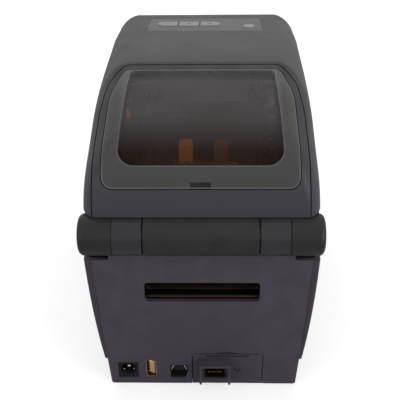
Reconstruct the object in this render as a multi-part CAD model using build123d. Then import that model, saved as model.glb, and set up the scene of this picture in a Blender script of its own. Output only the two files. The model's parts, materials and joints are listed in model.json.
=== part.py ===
"""Compact desktop label printer with a rear-hinged clamshell lid.

+Z is up, +Y is the rear with the ports, +X is the side of the power inlet.
The origin is on the table, under the middle of the overall box. Millimetres.
"""
from build123d import *
from functools import cache
from math import atan2, cos, degrees, pi, radians, sin, sqrt
import os

os.makedirs("parts", exist_ok=True)

# Overall size
overall_length = 220.5
overall_height = 151.0
barrel_width = 113.0
shell_half = 55.0
wall = 2.4
joint_gap = 0.15
fit_gap = 0.05

# Hinge across the rear
barrel_radius = 9.9
hinge_y = overall_length / 2 - barrel_radius
hinge_z = 94.0
hinge_inset = 0.95
rear_y = hinge_y + hinge_inset
front_y = -overall_length / 2
shaft_radius = 3.0
knuckle_half = 26.5
outer_knuckle_end = 40.8
knuckle_gap = 0.4
cap_wall = 3.0
cap_round = 2.8
barrel_edge = 0.35
saddle_front = rear_y - 8.1
saddle_low = 69.0

# Seam between case and lid
seam_z = 82.0
seam_gap = 0.6
case_top = seam_z - seam_gap / 2
lid_bottom = seam_z + seam_gap / 2
lid_rear_edge = hinge_z + 10.4

# Lid crown, as rays that fan out from two pivots low in the lid
fan_z = 52.0
fan_start = 28.0
rear_fan = 62.0
front_fan = overall_length - 70.5
crown = overall_height - fan_z
face_foot = 73.5
face_slope = 0.43
face_heights = (73.5, 65.0, 56.5, 48.0, 39.5, 31.0, 22.5)
brow_drop = 8.2
top_slope = 0.117
brow_radius = 12.0
edge_corner = 13.0
rear_corners = ((20, 6.5, 3.6), (34, 9.5, 5.2), (46, 16.5, 9.0))
crown_corner = 18.8
bezier_arc = 0.46
barrel_notch = 0.9
far = 300.0

# Case skirts: height, half width, depth of the front face from the middle
skirt_bottom = 17.5
skirt_half = 55.9
skirt_rows = (
    (skirt_bottom, skirt_half - 5.2, overall_length / 2 - 6.2),
    (45.0, skirt_half - 2.0, overall_length / 2 - 2.0),
    (70.0, skirt_half - 0.4, overall_length / 2 - 0.23),
    (case_top, skirt_half, overall_length / 2 - 2.6),
)
skirt_front_radius = 14.0
skirt_rear_radius = 1.6

# Tray under the case
foot_height = 1.2
floor_thickness = 1.4
floor_top = foot_height + floor_thickness
tray_half = 47.75
tray_front = front_y + 10.25
tray_wall = 2.0
tray_top = skirt_bottom + 2.0
foot_radius = 6.0
foot_x = 38.0
foot_front = tray_front + 16.0
foot_rear = rear_y - 15.3
foot_places = ((-foot_x, foot_front), (foot_x, foot_front), (-foot_x, foot_rear), (foot_x, foot_rear))
tray_corner = 10.0
screw_places = ((-42, tray_front + 62), (-42, rear_y - 63.3), (42, tray_front + 62), (42, rear_y - 63.3))
screw_radius = 1.5
screw_head_radius = 2.9
screw_head_top = 3.5
screw_end = 20.0
screw_boss_radius = 3.6
screw_boss_split = 7.75
screw_boss_top = 30.0
board_front = rear_y - 53.3
board_post_places = ((-40, board_front + 4), (-40, rear_y - 7.3), (40, board_front + 4), (40, rear_y - 7.3))

# Rear panel
panel_thickness = 2.2
panel_bottom = 0.3
panel_corner = 1.4
rim_drop = 1.7
rim_half = 44.0
rim_gap = 0.4
panel_halves = ((panel_bottom, 47.9), (skirt_bottom + 1, 49.2), (case_top, 52.65))
panel_back = rear_y - panel_thickness
feed_slot_half = 28.0
feed_slot_low = 55.1
feed_slot_high = 66.6
feed_slot_radius = 1.8

# Ports: centre x, centre z, opening width, opening height
board_bottom = 2.9
board_thickness = 1.4
board_top = board_bottom + board_thickness
power_port = (38.8, 9.7, 10.2, 10.0)
power_mouth_radius = 3.9
host_port = (26.9, 10.4, 5.4, 11.6)
device_port = (12.45, 8.7, 8.9, 8.4)
chips = ((-12, board_front + 8, 16), (16, board_front + 10, 10))
capacitor_places = ((-34, board_front + 14), (-26, board_front + 14), (34, board_front + 14))
socket_skin = 0.8
socket_depth = 13.0
socket_recess = 0.5

# Network module
module_low_x = -30.7
module_high_x = 5.6
module_top = 21.0
module_bottom = 0.5
jack_port = (-6.1, 7.4, 10.8, 6.2)
notch_radius = 22.0
guard_low_x = -14.0
guard_high_x = 1.75
guard_top = 17.95
guard_bottom = 3.8
guard_reach = 6.0
guard_roof = 1.3
guard_cheek = 1.1

# Media well
well_y = rear_y - 68.3
well_radius = 63.5
well_floor = 21.0
well_z = well_floor + well_radius
well_half = 32.0
well_wall = 2.0
well_rim = 80.5
trough_half_x = 35.5
trough_half_y = 9.6
trough_floor = 12.0
trough_roof = 18.0
trough_wall = 1.4
guide_slot_half = 3.5

# Label guides with rack and pinion
gear_module = 0.8
guide_pinion_teeth = 10
pinion_pin_radius = 1.4
rack_height = 3.0
rack_z = trough_floor + 0.4
guide_face = 7.5
guide_thickness = 3.0
guide_travel = 21.0
guide_hub_radius = 11.0
guide_boss_radius = 6.0
guide_boss_length = 4.0
tab_width = 7.4
tab_centre = 9.3
tab_low = 96.0
tab_high = 107.0
stop_bar_low = 59.0

# Print chassis
plate_half = 38.0
plate_thickness = 2.5
plate_top = 80.6
platen_y = front_y + 17.25
platen_z = 74.0
chassis_front = platen_y - 7.5
chassis_rear = platen_y + 47.0
deck_top = 78.3
deck_thickness = 2.0
deck_front = platen_y + 6.5
deck_rear = well_y - 66.0
sensor_slot_half = 26.0

# Platen and gear train
platen_radius = 6.0
platen_half = 29.0
platen_shaft_radius = 2.5
bush_radius = 5.0
platen_teeth = 18
idler_teeth = 30
pinion_teeth = 10
idler_lean = 35.0
pinion_lean = 60.0
gear_near = plate_half + plate_thickness + 0.8
gear_width = 4.5
tooth_backlash = 0.14
motor_side = 35.0
motor_length = 22.0

# Movable sensor
sensor_y = platen_y + 33.0
sensor_rod_radius = 1.25
sensor_rod_z = 73.9

# Latch
latch_bar_low = 72.4
latch_bar_high = 75.8
latch_bar_front = platen_y + 15.0
latch_bar_rear = latch_bar_front + 6.0
latch_half = 51.0
latch_travel = 5.0
latch_spring_x = 33.0
latch_spring_z = 70.6
hook_x = 49.0
hook_thickness = 3.0
strike_y = latch_bar_rear + 3.0
strike_z = 85.0
strike_radius = 1.5
latch_clearance = 0.7
release_reach = skirt_half + 0.6

# Label exit
exit_half = 31.0
exit_low = 78.4
exit_high = 83.3
bezel_half = 36.0
bezel_low = 24.0
shelf_top = 76.4
tear_front = front_y + 4.05
tear_rear = tear_front + 5.0
tear_pitch = 2.0
tear_depth = 0.9
tear_teeth = 29

# Print head
head_pivot_y = platen_y + 33.0
head_pivot_z = 98.0
head_pivot_radius = 2.0
head_half = 30.0
head_gap = 0.3
head_bottom = platen_z + platen_radius + head_gap
ceramic_thickness = 1.2
sink_height = 7.0
bracket_thickness = 1.6
lid_plate_z = 112.0
lid_plate_thickness = 2.5
lid_plate_front = platen_y + 3.0
lid_plate_rear = lid_plate_front + 58.0
lug_inner = 32.0
lug_outer = 35.0
head_front = platen_y - 5.0
head_rear = head_front + 22.0

# Cover split, as points on the side view given by setback from the rear and drop from the top
split_line = (
    (70.0, -2.0), (69.4, 2.0), (66.6, 7.0), (60.2, 14.5),
    (50.0, 22.0), (35.0, 35.5), (24.0, 52.0), (18.0, 72.0),
)
split_gap = 0.15

# Control panel
control_setback = overall_length - 68.5
control_drop = 8.45
control_half_x = 33.5
control_half_y = 17.0
control_thickness = 2.4
button_rise = 0.6
button_gap = 0.2
button_width = 12.2
button_length = 10.4
button_y = -0.4
button_end_radius = 4.6
button_places = {"pause_button": 22.3, "feed_button": 9.6, "cancel_button": -3.1}
button_round_sides = {"pause_button": 1, "feed_button": 0, "cancel_button": -1}
power_button_x = -25.8
power_button_y = 6.0
power_button_radius = 3.9
switch_board_depth = 7.0
control_post_places = ((-31, -13), (-31, 13), (31, -13), (31, 13))

# Window, measured on a plane that leans at 45 degrees over the rear edge
window_origin_setback = 22.0
window_origin_z = 142.0
# Right-hand corners from top to bottom: half width, place down the plane, radius
window_bottom = 31.7
window_corners = ((37.8, -34.1, 4.0), (43.6, -16.5, 30.0), (44.3, window_bottom, 4.5))
window_gap = 0.4
pane_corners = ((34.9, -33.0, 2.5), (37.1, 22.0, 7.0))
groove_corners = (
    (38.5, -38.4, 6.0), (46.6, -26.5, 12.0), (48.9, -8.0, 30.0), (49.2, 28.0, 60.0), (50.8, 62.0, 1.0))
groove_width = 0.6
groove_depth = 0.6
clip_half = 4.4
clip_height = 2.4


def block(x, y, z):
    """Box between two values on each axis."""
    size = [abs(b - a) for a, b in (x, y, z)]
    middle = [(a + b) / 2 for a, b in (x, y, z)]
    return Pos(*middle) * Box(*size)


def rod_x(radius, x, y, z):
    """Cylinder along X between two x values."""
    return Pos((x[0] + x[1]) / 2, y, z) * Rot(0, 90, 0) * Cylinder(radius, abs(x[1] - x[0]))


def rod_y(radius, x, y, z):
    """Cylinder along Y between two y values."""
    return Pos(x, (y[0] + y[1]) / 2, z) * Rot(90, 0, 0) * Cylinder(radius, abs(y[1] - y[0]))


def rod_z(radius, x, y, z):
    """Cylinder along Z between two z values."""
    return Pos(x, y, (z[0] + z[1]) / 2) * Cylinder(radius, abs(z[1] - z[0]))


def prism_x(face, x):
    """Extrusion of a face in the YZ plane between two x values."""
    return Pos(x[0], 0, 0) * extrude(face, x[1] - x[0], dir=(1, 0, 0))


def prism_y(face, y):
    """Extrusion of a face in the XZ plane between two y values."""
    return Pos(0, y[0], 0) * extrude(face, y[1] - y[0], dir=(0, 1, 0))


def mirrored(shape):
    """The same shape on the other side of the middle plane."""
    return mirror(shape, about=Plane.YZ)


def rounded_outline(corners, grow):
    """Flat outline of the given corners and their mirror images, rounded, and grown on all sides."""
    shifts = [-grow] + [0.0] * (len(corners) - 2) + [grow]
    right = [(half + grow, place + shift) for (half, place, _), shift in zip(corners, shifts)]
    left = [(-half, place) for half, place in reversed(right)]
    face = make_face(Polyline(*right, *left, close=True))
    for (half, place), (_, _, radius) in zip(right, corners):
        pair = [v for v in face.vertices() if abs(abs(v.X) - half) < 0.01 and abs(v.Y - place) < 0.01]
        face = fillet(pair, radius + grow)
    return face


def port_block(port, y, grow=0.0):
    """Box as wide as a port, from the board or its own lower edge to its top, between two y values."""
    x, z, width, height = port
    bottom = min(board_top, z - height / 2) - grow
    return block((x - width / 2 - grow, x + width / 2 + grow), y, (bottom, z + height / 2 + grow))


# Lid crown

def front_radius(angle):
    """Length of a ray from the front pivot to the sloping top, the rounded brow or the leaning face."""
    turn = pi - radians(angle)
    ahead, up = (cos(turn), sin(turn))
    top_height = crown - brow_drop
    to_top = top_height / (up + top_slope * ahead)
    to_face = face_foot / (ahead + face_slope * up)
    top_size = sqrt(1 + top_slope ** 2)
    face_size = sqrt(1 + face_slope ** 2)
    level = top_height - brow_radius * top_size
    reach = face_foot - brow_radius * face_size
    middle_up = (level - top_slope * reach) / (1 - top_slope * face_slope)
    middle_ahead = reach - face_slope * middle_up
    start = atan2(middle_up + brow_radius / top_size, middle_ahead + brow_radius * top_slope / top_size)
    end = atan2(middle_up + brow_radius * face_slope / face_size, middle_ahead + brow_radius / face_size)
    if turn > start:
        return to_top
    if turn < end:
        return to_face
    along = middle_ahead * ahead + middle_up * up
    return along + sqrt(along ** 2 - middle_ahead ** 2 - middle_up ** 2 + brow_radius ** 2)


def crown_rows():
    """Setback of the pivot, angle, crown radius, corner depth and corner width of each ray."""
    rows = [
        (rear_fan, angle, rear_fan / cos(radians(angle)), depth, corner)
        for angle, depth, corner in rear_corners]
    rows += [
        (rear_fan, 55.5, crown - 1.7, 25.7, crown_corner - 4.8),
        (rear_fan, 62, crown - 0.7, 28.5, crown_corner - 1.8),
        (rear_fan, 71.3, crown - 1.0, 29.4, crown_corner),
        (rear_fan, 80.5, crown - 0.8, 28.4, crown_corner),
        (rear_fan, 90, crown - 0.5, 26.1, crown_corner),
        (rear_fan + 14, 90, crown - 0.06, 24.4, crown_corner),
        (rear_fan + 27, 90, crown - 1.05, 22.0, crown_corner),
        (rear_fan + 42, 90, crown - 2.8, 19.5, crown_corner - 1.9),
        (rear_fan + 58, 90, crown - 4.7, 17.3, crown_corner - 3.8),
        (rear_fan + 73, 90, crown - 6.45, 15.0, crown_corner - 5.0),
    ]
    angles = [90, 95.5, 100.3, 103.8, 107.5, 110.7, 113.7]
    angles += [180 - degrees(atan2(up, face_foot - face_slope * up)) for up in face_heights]
    return rows + [(front_fan, angle, front_radius(angle), edge_corner, edge_corner) for angle in angles]


def crown_section(setback, angle, radius, depth, corner, inset):
    """Arch-shaped section on the half plane of one ray."""
    along = (cos(radians(angle)), sin(radians(angle)))
    half = shell_half - inset
    top = radius - inset
    shoulder = top - depth

    def at(x, out):
        return (x, rear_y - setback + out * along[0], fan_z + out * along[1])

    rise = shoulder + bezier_arc * depth
    run = half - corner * (1 - bezier_arc)
    left = Bezier(at(-half, shoulder), at(-half, rise), at(-run, top), at(corner - half, top))
    right = Bezier(at(half - corner, top), at(run, top), at(half, rise), at(half, shoulder))
    edges = [
        Line(at(-half, fan_start), at(-half, shoulder)), left, Line(left @ 1, right @ 0), right,
        Line(at(half, shoulder), at(half, fan_start)), Line(at(half, fan_start), at(-half, fan_start)),
    ]
    return Face(Wire(edges))


@cache
def crown_solid(inset):
    """Everything under the lid's skin, moved inwards by inset."""
    return loft([crown_section(*row, inset) for row in crown_rows()])


@cache
def lid_shell():
    """The whole skin of the lid above the seam, with the rear left open for the barrel."""
    outer = crown_solid(0) - block((-far, far), (-far, far), (0, lid_bottom))
    outer -= block((-far, far), (hinge_y - barrel_radius - barrel_notch, far), (0, lid_rear_edge))
    return outer - crown_solid(wall)


def split_side(gap):
    """Everything in front of the curved line where the top cover meets the rear frame."""
    line = [(rear_y - setback - gap, overall_height - drop) for setback, drop in split_line]
    start, end = line[0], line[-1]
    front = Polyline(end, (end[0], 0), (-far, 0), (-far, far), (start[0], far), start)
    return prism_x(make_face(Plane.YZ * (Spline(*line) + front)), (-far, far))


def control_plane():
    """Plane of the control panel, level with the sloping top of the lid."""
    height = overall_height - control_drop
    normal = (0, -top_slope, sqrt(1 - top_slope ** 2))
    return Plane((0, rear_y - control_setback, height), x_dir=(1, 0, 0), z_dir=normal)


def window_plane():
    """Plane that leans over the rear edge of the lid."""
    return Plane((0, rear_y - window_origin_setback, window_origin_z), x_dir=(1, 0, 0), z_dir=(0, 1, 1))


def window_cut(face):
    """Prism through the lid's rear edge with the given outline."""
    return window_plane() * Pos(0, 0, -30) * extrude(face, 90)


def window_prism(grow):
    return window_cut(rounded_outline(window_corners, grow))


def pane_prism(grow):
    return window_cut(rounded_outline(pane_corners, grow))


def arch_groove():
    """Thin groove round the window, down to the lid's lower edge, just under the skin."""
    ring = rounded_outline(groove_corners, 0) - rounded_outline(groove_corners, -groove_width)
    return window_cut(ring) - crown_solid(groove_depth)


def clip_prism(grow):
    low = window_bottom - clip_height - grow
    face = Pos(0, (low + window_bottom + 2) / 2) * Rectangle(2 * (clip_half + grow), window_bottom + 2 - low)
    return window_cut(face)


# Case

@cache
def case_solid(inset):
    """Everything inside the skirts, moved inwards by inset."""
    sections = []
    for height, half, reach in skirt_rows:
        face = make_face(Polyline(
            (-half + inset, inset - reach), (half - inset, inset - reach),
            (half - inset, rear_y - inset), (inset - half, rear_y - inset), close=True))
        corners = face.vertices().sort_by(Axis.Y)
        face = fillet(corners[:2], skirt_front_radius - inset)
        face = fillet(face.vertices().sort_by(Axis.Y)[-2:], max(skirt_rear_radius - inset, 0.6))
        sections.append(Pos(0, 0, height) * face)
    return loft(sections)


def panel_prism(grow, y):
    """Prism with the outline of the rear panel, lower beside the middle of the barrel."""
    right = [(half + grow, z) for z, half in panel_halves]
    right[0] = (right[0][0], panel_bottom - grow)
    right[-1] = (right[-1][0], case_top - rim_drop + grow)
    right += [(rim_half + grow, case_top - rim_drop + grow), (rim_half + grow, barrel_rim_z())]
    left = [(-x, z) for x, z in reversed(right)]
    face = make_face(Plane.XZ * Polyline(*right, *left, close=True))
    prism = prism_y(face, y)
    return fillet(prism.edges().filter_by(Axis.Y).sort_by(Axis.Z)[:2], panel_corner)


def barrel_rim_z():
    """Height of the rear panel's rim just under the barrel."""
    return hinge_z - barrel_radius + 0.8


def barrel_room():
    """Space that the turning barrel needs."""
    return rod_x(barrel_radius + rim_gap, (-far, far), hinge_y, hinge_z)


def feed_slot(y, grow=0.0):
    face = Plane.XZ * RectangleRounded(
        2 * (feed_slot_half + grow), feed_slot_high - feed_slot_low + 2 * grow, feed_slot_radius + grow)
    return Pos(0, 0, (feed_slot_low + feed_slot_high) / 2) * prism_y(face, y)


def tray_outline(inset):
    depth = panel_back - joint_gap - tray_front
    face = Pos(0, tray_front + inset + depth / 2) * Rectangle(2 * (tray_half - inset), depth)
    return fillet(face.vertices().sort_by(Axis.Y)[:2], tray_corner - inset)


def base_tray():
    """Plinth: floor, low walls, screw bosses and board posts."""
    tray = Pos(0, 0, foot_height) * extrude(tray_outline(0), tray_top - foot_height)
    tray -= Pos(0, 0, floor_top) * extrude(tray_outline(tray_wall), tray_top)
    for x, y in screw_places:
        tray += rod_z(screw_boss_radius, x, y, (floor_top, screw_boss_split - joint_gap))
        tray -= rod_z(screw_radius + 0.1, x, y, (0, screw_boss_split))
        tray -= rod_z(screw_head_radius + 0.2, x, y, (0, screw_head_top))
    for x, y in board_post_places:
        tray += rod_z(2.5, x, y, (floor_top, board_bottom))
    return tray


def rubber_feet():
    return [rod_z(foot_radius, x, y, (0, foot_height)) for x, y in foot_places]


def case_screws():
    return [
        rod_z(screw_head_radius, x, y, (screw_head_top - 2, screw_head_top))
        + rod_z(screw_radius, x, y, (screw_head_top, screw_end)) for x, y in screw_places]


def release_slot(side):
    """Slot in the case side that the release tab comes through."""
    return block(
        (side * 50, side * 60), (latch_bar_front - latch_travel - 5, latch_bar_rear + 2.4), (69.5, 78.4))


def bezel_region(grow):
    return block((-bezel_half - grow, bezel_half + grow), (-far, front_y + 15.25), (bezel_low - grow, far))


def exit_mouth():
    return block((-exit_half, exit_half), (-far, front_y + 12.25), (exit_low, exit_high))


def body_housing():
    """Tapered skirts around the sides and front, open behind for the rear panel."""
    housing = case_solid(0) - case_solid(wall)
    housing -= panel_prism(joint_gap, (rear_y - 4, rear_y + 1)) + barrel_room()
    for side in (-1, 1):
        x = (side * rim_half, side * far)
        housing -= block(x, (hinge_y - barrel_radius, far), (case_top - rim_drop, far))
    housing -= bezel_region(joint_gap)
    for side in (-1, 1):
        housing -= release_slot(side)
    for x, y in screw_places:
        wall_x = x + (9 if x > 0 else -9)
        web = block((x, wall_x), (y - 1.2, y + 1.2), (tray_top + 0.3, screw_boss_top)) & case_solid(wall / 2)
        boss = rod_z(screw_boss_radius, x, y, (screw_boss_split, screw_boss_top)) + web
        housing += boss - rod_z(screw_radius, x, y, (0, screw_end + 1))
    return housing


def front_bezel():
    """Front insert under the label exit, with a shelf for the tear bar."""
    bezel = (case_solid(0) - case_solid(wall)) & bezel_region(0)
    shelf = block((-30, 30), (tear_front - 2, tear_rear + 0.2), (shelf_top - 2, shelf_top))
    bezel += shelf & case_solid(wall / 2)
    return bezel - exit_mouth()


def tear_bar():
    """Toothed steel strip along the label exit."""
    start = -tear_teeth * tear_pitch / 2
    root = tear_front + tear_depth
    points = [(start, tear_rear), (start, root)]
    for number in range(tear_teeth):
        x = start + number * tear_pitch
        points += [(x + tear_pitch / 2, tear_front), (x + tear_pitch, root)]
    points.append((-start, tear_rear))
    face = make_face(Polyline(*points, close=True))
    return Pos(0, 0, shelf_top) * extrude(face, 1.2)


def rear_panel():
    """Flat rear wall with the fan-fold slot, the port windows and the module bay."""
    panel = panel_prism(0, (panel_back, rear_y)) - barrel_room()
    cut = (panel_back - 1, rear_y + 1)
    panel -= feed_slot(cut)
    for port in (power_port, host_port, device_port):
        panel -= port_block(port, cut, joint_gap)
    panel -= block((module_low_x - joint_gap, module_high_x + joint_gap), cut, (0, module_top + joint_gap))
    notch_x = (module_low_x + module_high_x) / 2
    return panel - rod_y(notch_radius, notch_x, (rear_y - 0.8, rear_y + 1), module_top + 1.1 - notch_radius)


def slot_chute():
    """Short duct between the rear panel's slot and the well."""
    y = (panel_back - 11, panel_back - joint_gap)
    duct = feed_slot(y, 1.4) - feed_slot((panel_back - 20, panel_back + 1))
    return duct - rod_x(well_radius + well_wall + joint_gap, (-40, 40), well_y, well_z)


# Sockets on the main board

def socket_front():
    return rear_y - socket_recess


def dc_socket():
    """Square body with a round mouth around the centre pin."""
    x, z, width, height = power_port
    outer = port_block(power_port, (socket_front() - socket_depth, socket_front()))
    mouth = rod_y(power_mouth_radius, x, (socket_front() - 9, socket_front() + 1), z)
    return outer - mouth + rod_y(1.0, x, (socket_front() - 9.5, socket_front() - 2.2), z)


def usb_host_socket():
    """Upright metal shell with the contact tongue at its back."""
    skin_metal = 0.35
    x, z, width, height = host_port
    outer = port_block(host_port, (socket_front() - socket_depth, socket_front()))
    inner = block(
        (x - width / 2 + skin_metal, x + width / 2 - skin_metal), (socket_front() - 10, socket_front() + 1),
        (z - height / 2 + skin_metal, z + height / 2 - skin_metal))
    tongue = block((x - 1.9, x - 0.3), (socket_front() - 10, socket_front() - 0.8), (z - 4.4, z + 4.4))
    return outer - inner + tongue


def usb_device_socket():
    x, z, width, height = device_port
    outer = port_block(device_port, (socket_front() - socket_depth, socket_front()))
    cutter = Plane.XZ * chamfer(Rectangle(width - 1.0, height - 1.0).vertices().sort_by(Axis.Y)[-2:], 1.8)
    outer -= Pos(x, 0, z) * prism_y(cutter, (socket_front() - 10, socket_front() + 1))
    return outer + block((x - 2.8, x + 2.8), (socket_front() - 10.5, socket_front() - 2), (z - 1.6, z + 1.6))


def main_board():
    half = tray_half - tray_wall - 0.35
    board = block((-half, half), (board_front, panel_back - 0.7), (board_bottom, board_top))
    for x, y, size in chips:
        board += block((x, x + size), (y, y + size), (board_top, board_top + 1.4))
    for x, y in capacitor_places:
        board += rod_z(3.2, x, y, (board_top, board_top + 8))
    return board


# Network module

def lan_panel():
    """Module plate with the pull slit and the guard around the network jack."""
    plate = block((module_low_x, module_high_x), (panel_back, rear_y), (module_bottom, module_top))
    plate -= port_block(jack_port, (panel_back - 1, rear_y + 1), joint_gap)
    middle = (module_low_x + module_high_x) / 2
    plate -= block((middle - 11, middle + 11), (rear_y - 1, rear_y + 1), (18.85, 19.75))
    reach = (rear_y, rear_y + guard_reach)
    roof = block((guard_low_x, guard_high_x), reach, (guard_top - guard_roof, guard_top))
    plate += roof
    for low in (guard_low_x, guard_high_x - guard_cheek):
        cheek = block((low, low + guard_cheek), reach, (guard_bottom, guard_top))
        tip = cheek.edges().filter_by(Axis.X).sort_by(Axis.Z)[:2].sort_by(Axis.Y)[-1:]
        plate += fillet(tip, 2.4)
    return plate


def lan_jack():
    x, z, width, height = jack_port
    outer = port_block(jack_port, (socket_front() - 15, socket_front()))
    inner = block(
        (x - width / 2 + 0.6, x + width / 2 - 0.6), (socket_front() - 12, socket_front() + 1),
        (z - height / 2 + 0.6, z + height / 2 - 0.6))
    return outer - inner


# Media well and label guides

def trough(grow, top):
    """Box of the rack trough, grown outwards and downwards."""
    half_x = trough_half_x + grow
    half_y = trough_half_y + grow
    return block((-half_x, half_x), (well_y - half_y, well_y + half_y), (trough_floor - grow, top))


def media_well():
    """Round-bottomed bay for the roll, with the rack trough under it."""
    reach = well_radius + well_wall
    well = rod_x(reach, (-well_half - well_wall, well_half + well_wall), well_y, well_z)
    well -= block((-far, far), (-far, far), (well_rim, far))
    well += trough(trough_wall, well_floor)
    leg_y = (well_y - 4, well_y + 4)
    for side in (-1, 1):
        well += block((side * 27, side * 33), leg_y, (floor_top, trough_floor - trough_wall))
    well -= rod_x(well_radius, (-well_half, well_half), well_y, well_z)
    well -= trough(0, trough_roof)
    slot_y = (well_y - guide_slot_half, well_y + guide_slot_half)
    well -= block((-well_half, well_half), slot_y, (trough_roof - 1, 30))
    half = knuckle_half - 0.6
    well -= block((-half, half), (saddle_front - 0.6, far), (saddle_low - 1, far))
    well -= feed_slot((panel_back - 20, panel_back + 1))
    return well + rod_z(pinion_pin_radius, 0, well_y, (trough_floor - 0.5, rack_z + rack_height))


def gear_outline(teeth, module, phase, thin):
    """Involute gear outline with a tooth centred on the phase angle, in radians."""
    pitch = teeth * module / 2
    base = pitch * cos(radians(20))
    tip = pitch + 0.9 * module
    root = pitch - 1.2 * module

    def roll(radius):
        flat = sqrt(max((radius / base) ** 2 - 1, 0))
        return flat - atan2(flat, 1)

    half_pitch_angle = pi / (2 * teeth) - thin / (2 * pitch) + roll(pitch)
    start = max(root, base)
    radii = [start + (tip - start) * step / 3 for step in range(4)]
    points = []
    for number in range(teeth):
        centre = phase + 2 * pi * number / teeth
        flank = [(radius, half_pitch_angle - roll(radius)) for radius in radii]
        rising = [(root, half_pitch_angle)] + flank if root < base else flank
        points += [(r * cos(centre - a), r * sin(centre - a)) for r, a in rising]
        points += [(r * cos(centre + a), r * sin(centre + a)) for r, a in reversed(rising)]
    return make_face(Polyline(*points, close=True))


def guide_pinion():
    gear = extrude(gear_outline(guide_pinion_teeth, gear_module, pi / 2, tooth_backlash), rack_height)
    gear = Pos(0, well_y, rack_z) * gear
    return gear - rod_z(pinion_pin_radius + fit_gap, 0, well_y, (0, well_floor))


def rack(first, last):
    """Toothed bar whose teeth point to -Y, with a gap over x = 0."""
    pitch = pi * gear_module
    half = pitch / 4 - tooth_backlash / 2
    lean = 0.9 * gear_module * sin(radians(20)) / cos(radians(20))
    root = 1.2 * gear_module
    tip = -0.9 * gear_module
    count_low = int(first / pitch)
    count_high = int(last / pitch)
    bar = block((first - 2.4, last + 2.4), (root, root + 2.2), (0, rack_height))
    for number in range(count_low, count_high):
        x = (number + 0.5) * pitch
        left, right = (x - half, x + half)
        corners = ((left - lean, root), (left + lean, tip), (right - lean, tip), (right + lean, root))
        bar += extrude(make_face(Polyline(*corners, close=True)), rack_height)
    return bar


def label_guide_left():
    """Guide on the -X side: rack, foot, arm, roll disc and core boss."""
    pitch_radius = guide_pinion_teeth * gear_module / 2
    bar = Pos(0, well_y + pitch_radius, rack_z) * rack(-9.0, guide_travel + 3.5)
    rack_back = well_y + pitch_radius + 1.2 * gear_module + 2.2
    foot_z = rack_z + rack_height
    arm_x = (-guide_face - guide_thickness, -guide_face)
    guide = bar + block(arm_x, (well_y - 3, rack_back), (foot_z, foot_z + 1.6))
    guide += block(arm_x, (well_y - 3, well_y + 3), (foot_z, well_floor + 4))
    guide += block(arm_x, (well_y - 9, well_y + 9), (well_floor + 3, tab_low + 1))
    guide += rod_x(guide_hub_radius, arm_x, well_y, well_z)
    return guide + rod_x(guide_boss_radius, (-guide_face, guide_boss_length - guide_face), well_y, well_z)


def guide_tab_left():
    arm = block((-guide_face - guide_thickness, -guide_face), (0, far), (0, tab_low + 1))
    low = -tab_centre - tab_width / 2
    tab = block((low, low + tab_width), (well_y - 3.5, well_y + 3.5), (tab_low, tab_high))
    return fillet((tab - arm).edges().filter_by(Axis.Y).sort_by(Axis.Z)[-2:], 1.2)


def turned_half(shape):
    """The same piece turned by half a turn about the pinion's axis."""
    return Pos(0, well_y, 0) * Rot(0, 0, 180) * Pos(0, -well_y, 0) * shape


def label_stop_bar():
    """Amber strip on the front wall of the well."""
    front = well_y - sqrt(well_radius ** 2 - (well_z - stop_bar_low) ** 2)
    return block((-20.5, 20.5), (front + 0.3, front + 2.6), (stop_bar_low, stop_bar_low + 5))


# Print chassis, platen and drive

def chassis_plate(low, high):
    foot_y = chassis_front + 4.5
    brow_y = chassis_rear - 12
    points = ((foot_y, floor_top), (foot_y, 26), (chassis_front, 32), (chassis_front, plate_top),
              (brow_y, plate_top), (chassis_rear, deck_top), (chassis_rear, floor_top))
    face = make_face(Plane.YZ * Polyline(*points, close=True))
    return prism_x(face, (low, high))


def gear_centres():
    """Centres of idler and motor pinion in Y and Z."""
    reach = gear_module * (platen_teeth + idler_teeth) / 2
    idler = (platen_y + reach * sin(radians(idler_lean)), platen_z - reach * cos(radians(idler_lean)))
    reach = gear_module * (idler_teeth + pinion_teeth) / 2
    pinion = (idler[0] + reach * sin(radians(pinion_lean)), idler[1] - reach * cos(radians(pinion_lean)))
    return idler, pinion


def print_chassis():
    """Two side plates, the label deck and a rear cross wall."""
    outer = plate_half + plate_thickness
    chassis = chassis_plate(-outer, -plate_half) + chassis_plate(plate_half, outer)
    deck_heights = (deck_top - deck_thickness, deck_top)
    chassis += block((-plate_half, plate_half), (deck_front, deck_rear), deck_heights)
    chassis += block((-plate_half, plate_half), (chassis_rear - 2, chassis_rear), (30, deck_top))
    chassis -= rod_x(bush_radius, (-60, 60), platen_y, platen_z)
    chassis -= block((-sensor_slot_half, sensor_slot_half), (sensor_y - 2, sensor_y + 2), (deck_top - 8, far))
    chassis -= block(
        (-60, 60), (latch_bar_front - latch_travel - 0.6, latch_bar_rear + 0.4),
        (latch_spring_z - 2.2, latch_bar_high + 0.3))
    chassis -= rod_x(sensor_rod_radius, (-60, 60), sensor_y, sensor_rod_z)
    idler, pinion = gear_centres()
    chassis -= rod_x(2.0, (-60, 0), *idler)
    chassis -= rod_x(6.1, (-60, 0), *pinion)
    for y, z in motor_screw_places():
        chassis -= rod_x(1.35, (-60, 0), y, z)
    return chassis


def motor_screw_places():
    y, z = gear_centres()[1]
    return [(y + 14, z + 14), (y - 14, z - 14)]


def stepper_motor():
    y, z = gear_centres()[1]
    half = motor_side / 2
    case = block((-plate_half, motor_length - plate_half), (y - half, y + half), (z - half, z + half))
    case = chamfer(case.edges().filter_by(Axis.X), 4)
    case += rod_x(6.0, (-plate_half - plate_thickness + 0.2, -plate_half), y, z)
    case -= rod_x(1.5 + fit_gap, (-60, -plate_half + 10), y, z)
    for screw_y, screw_z in motor_screw_places():
        case -= rod_x(1.25, (-60, -plate_half + 4), screw_y, screw_z)
    return case


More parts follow.
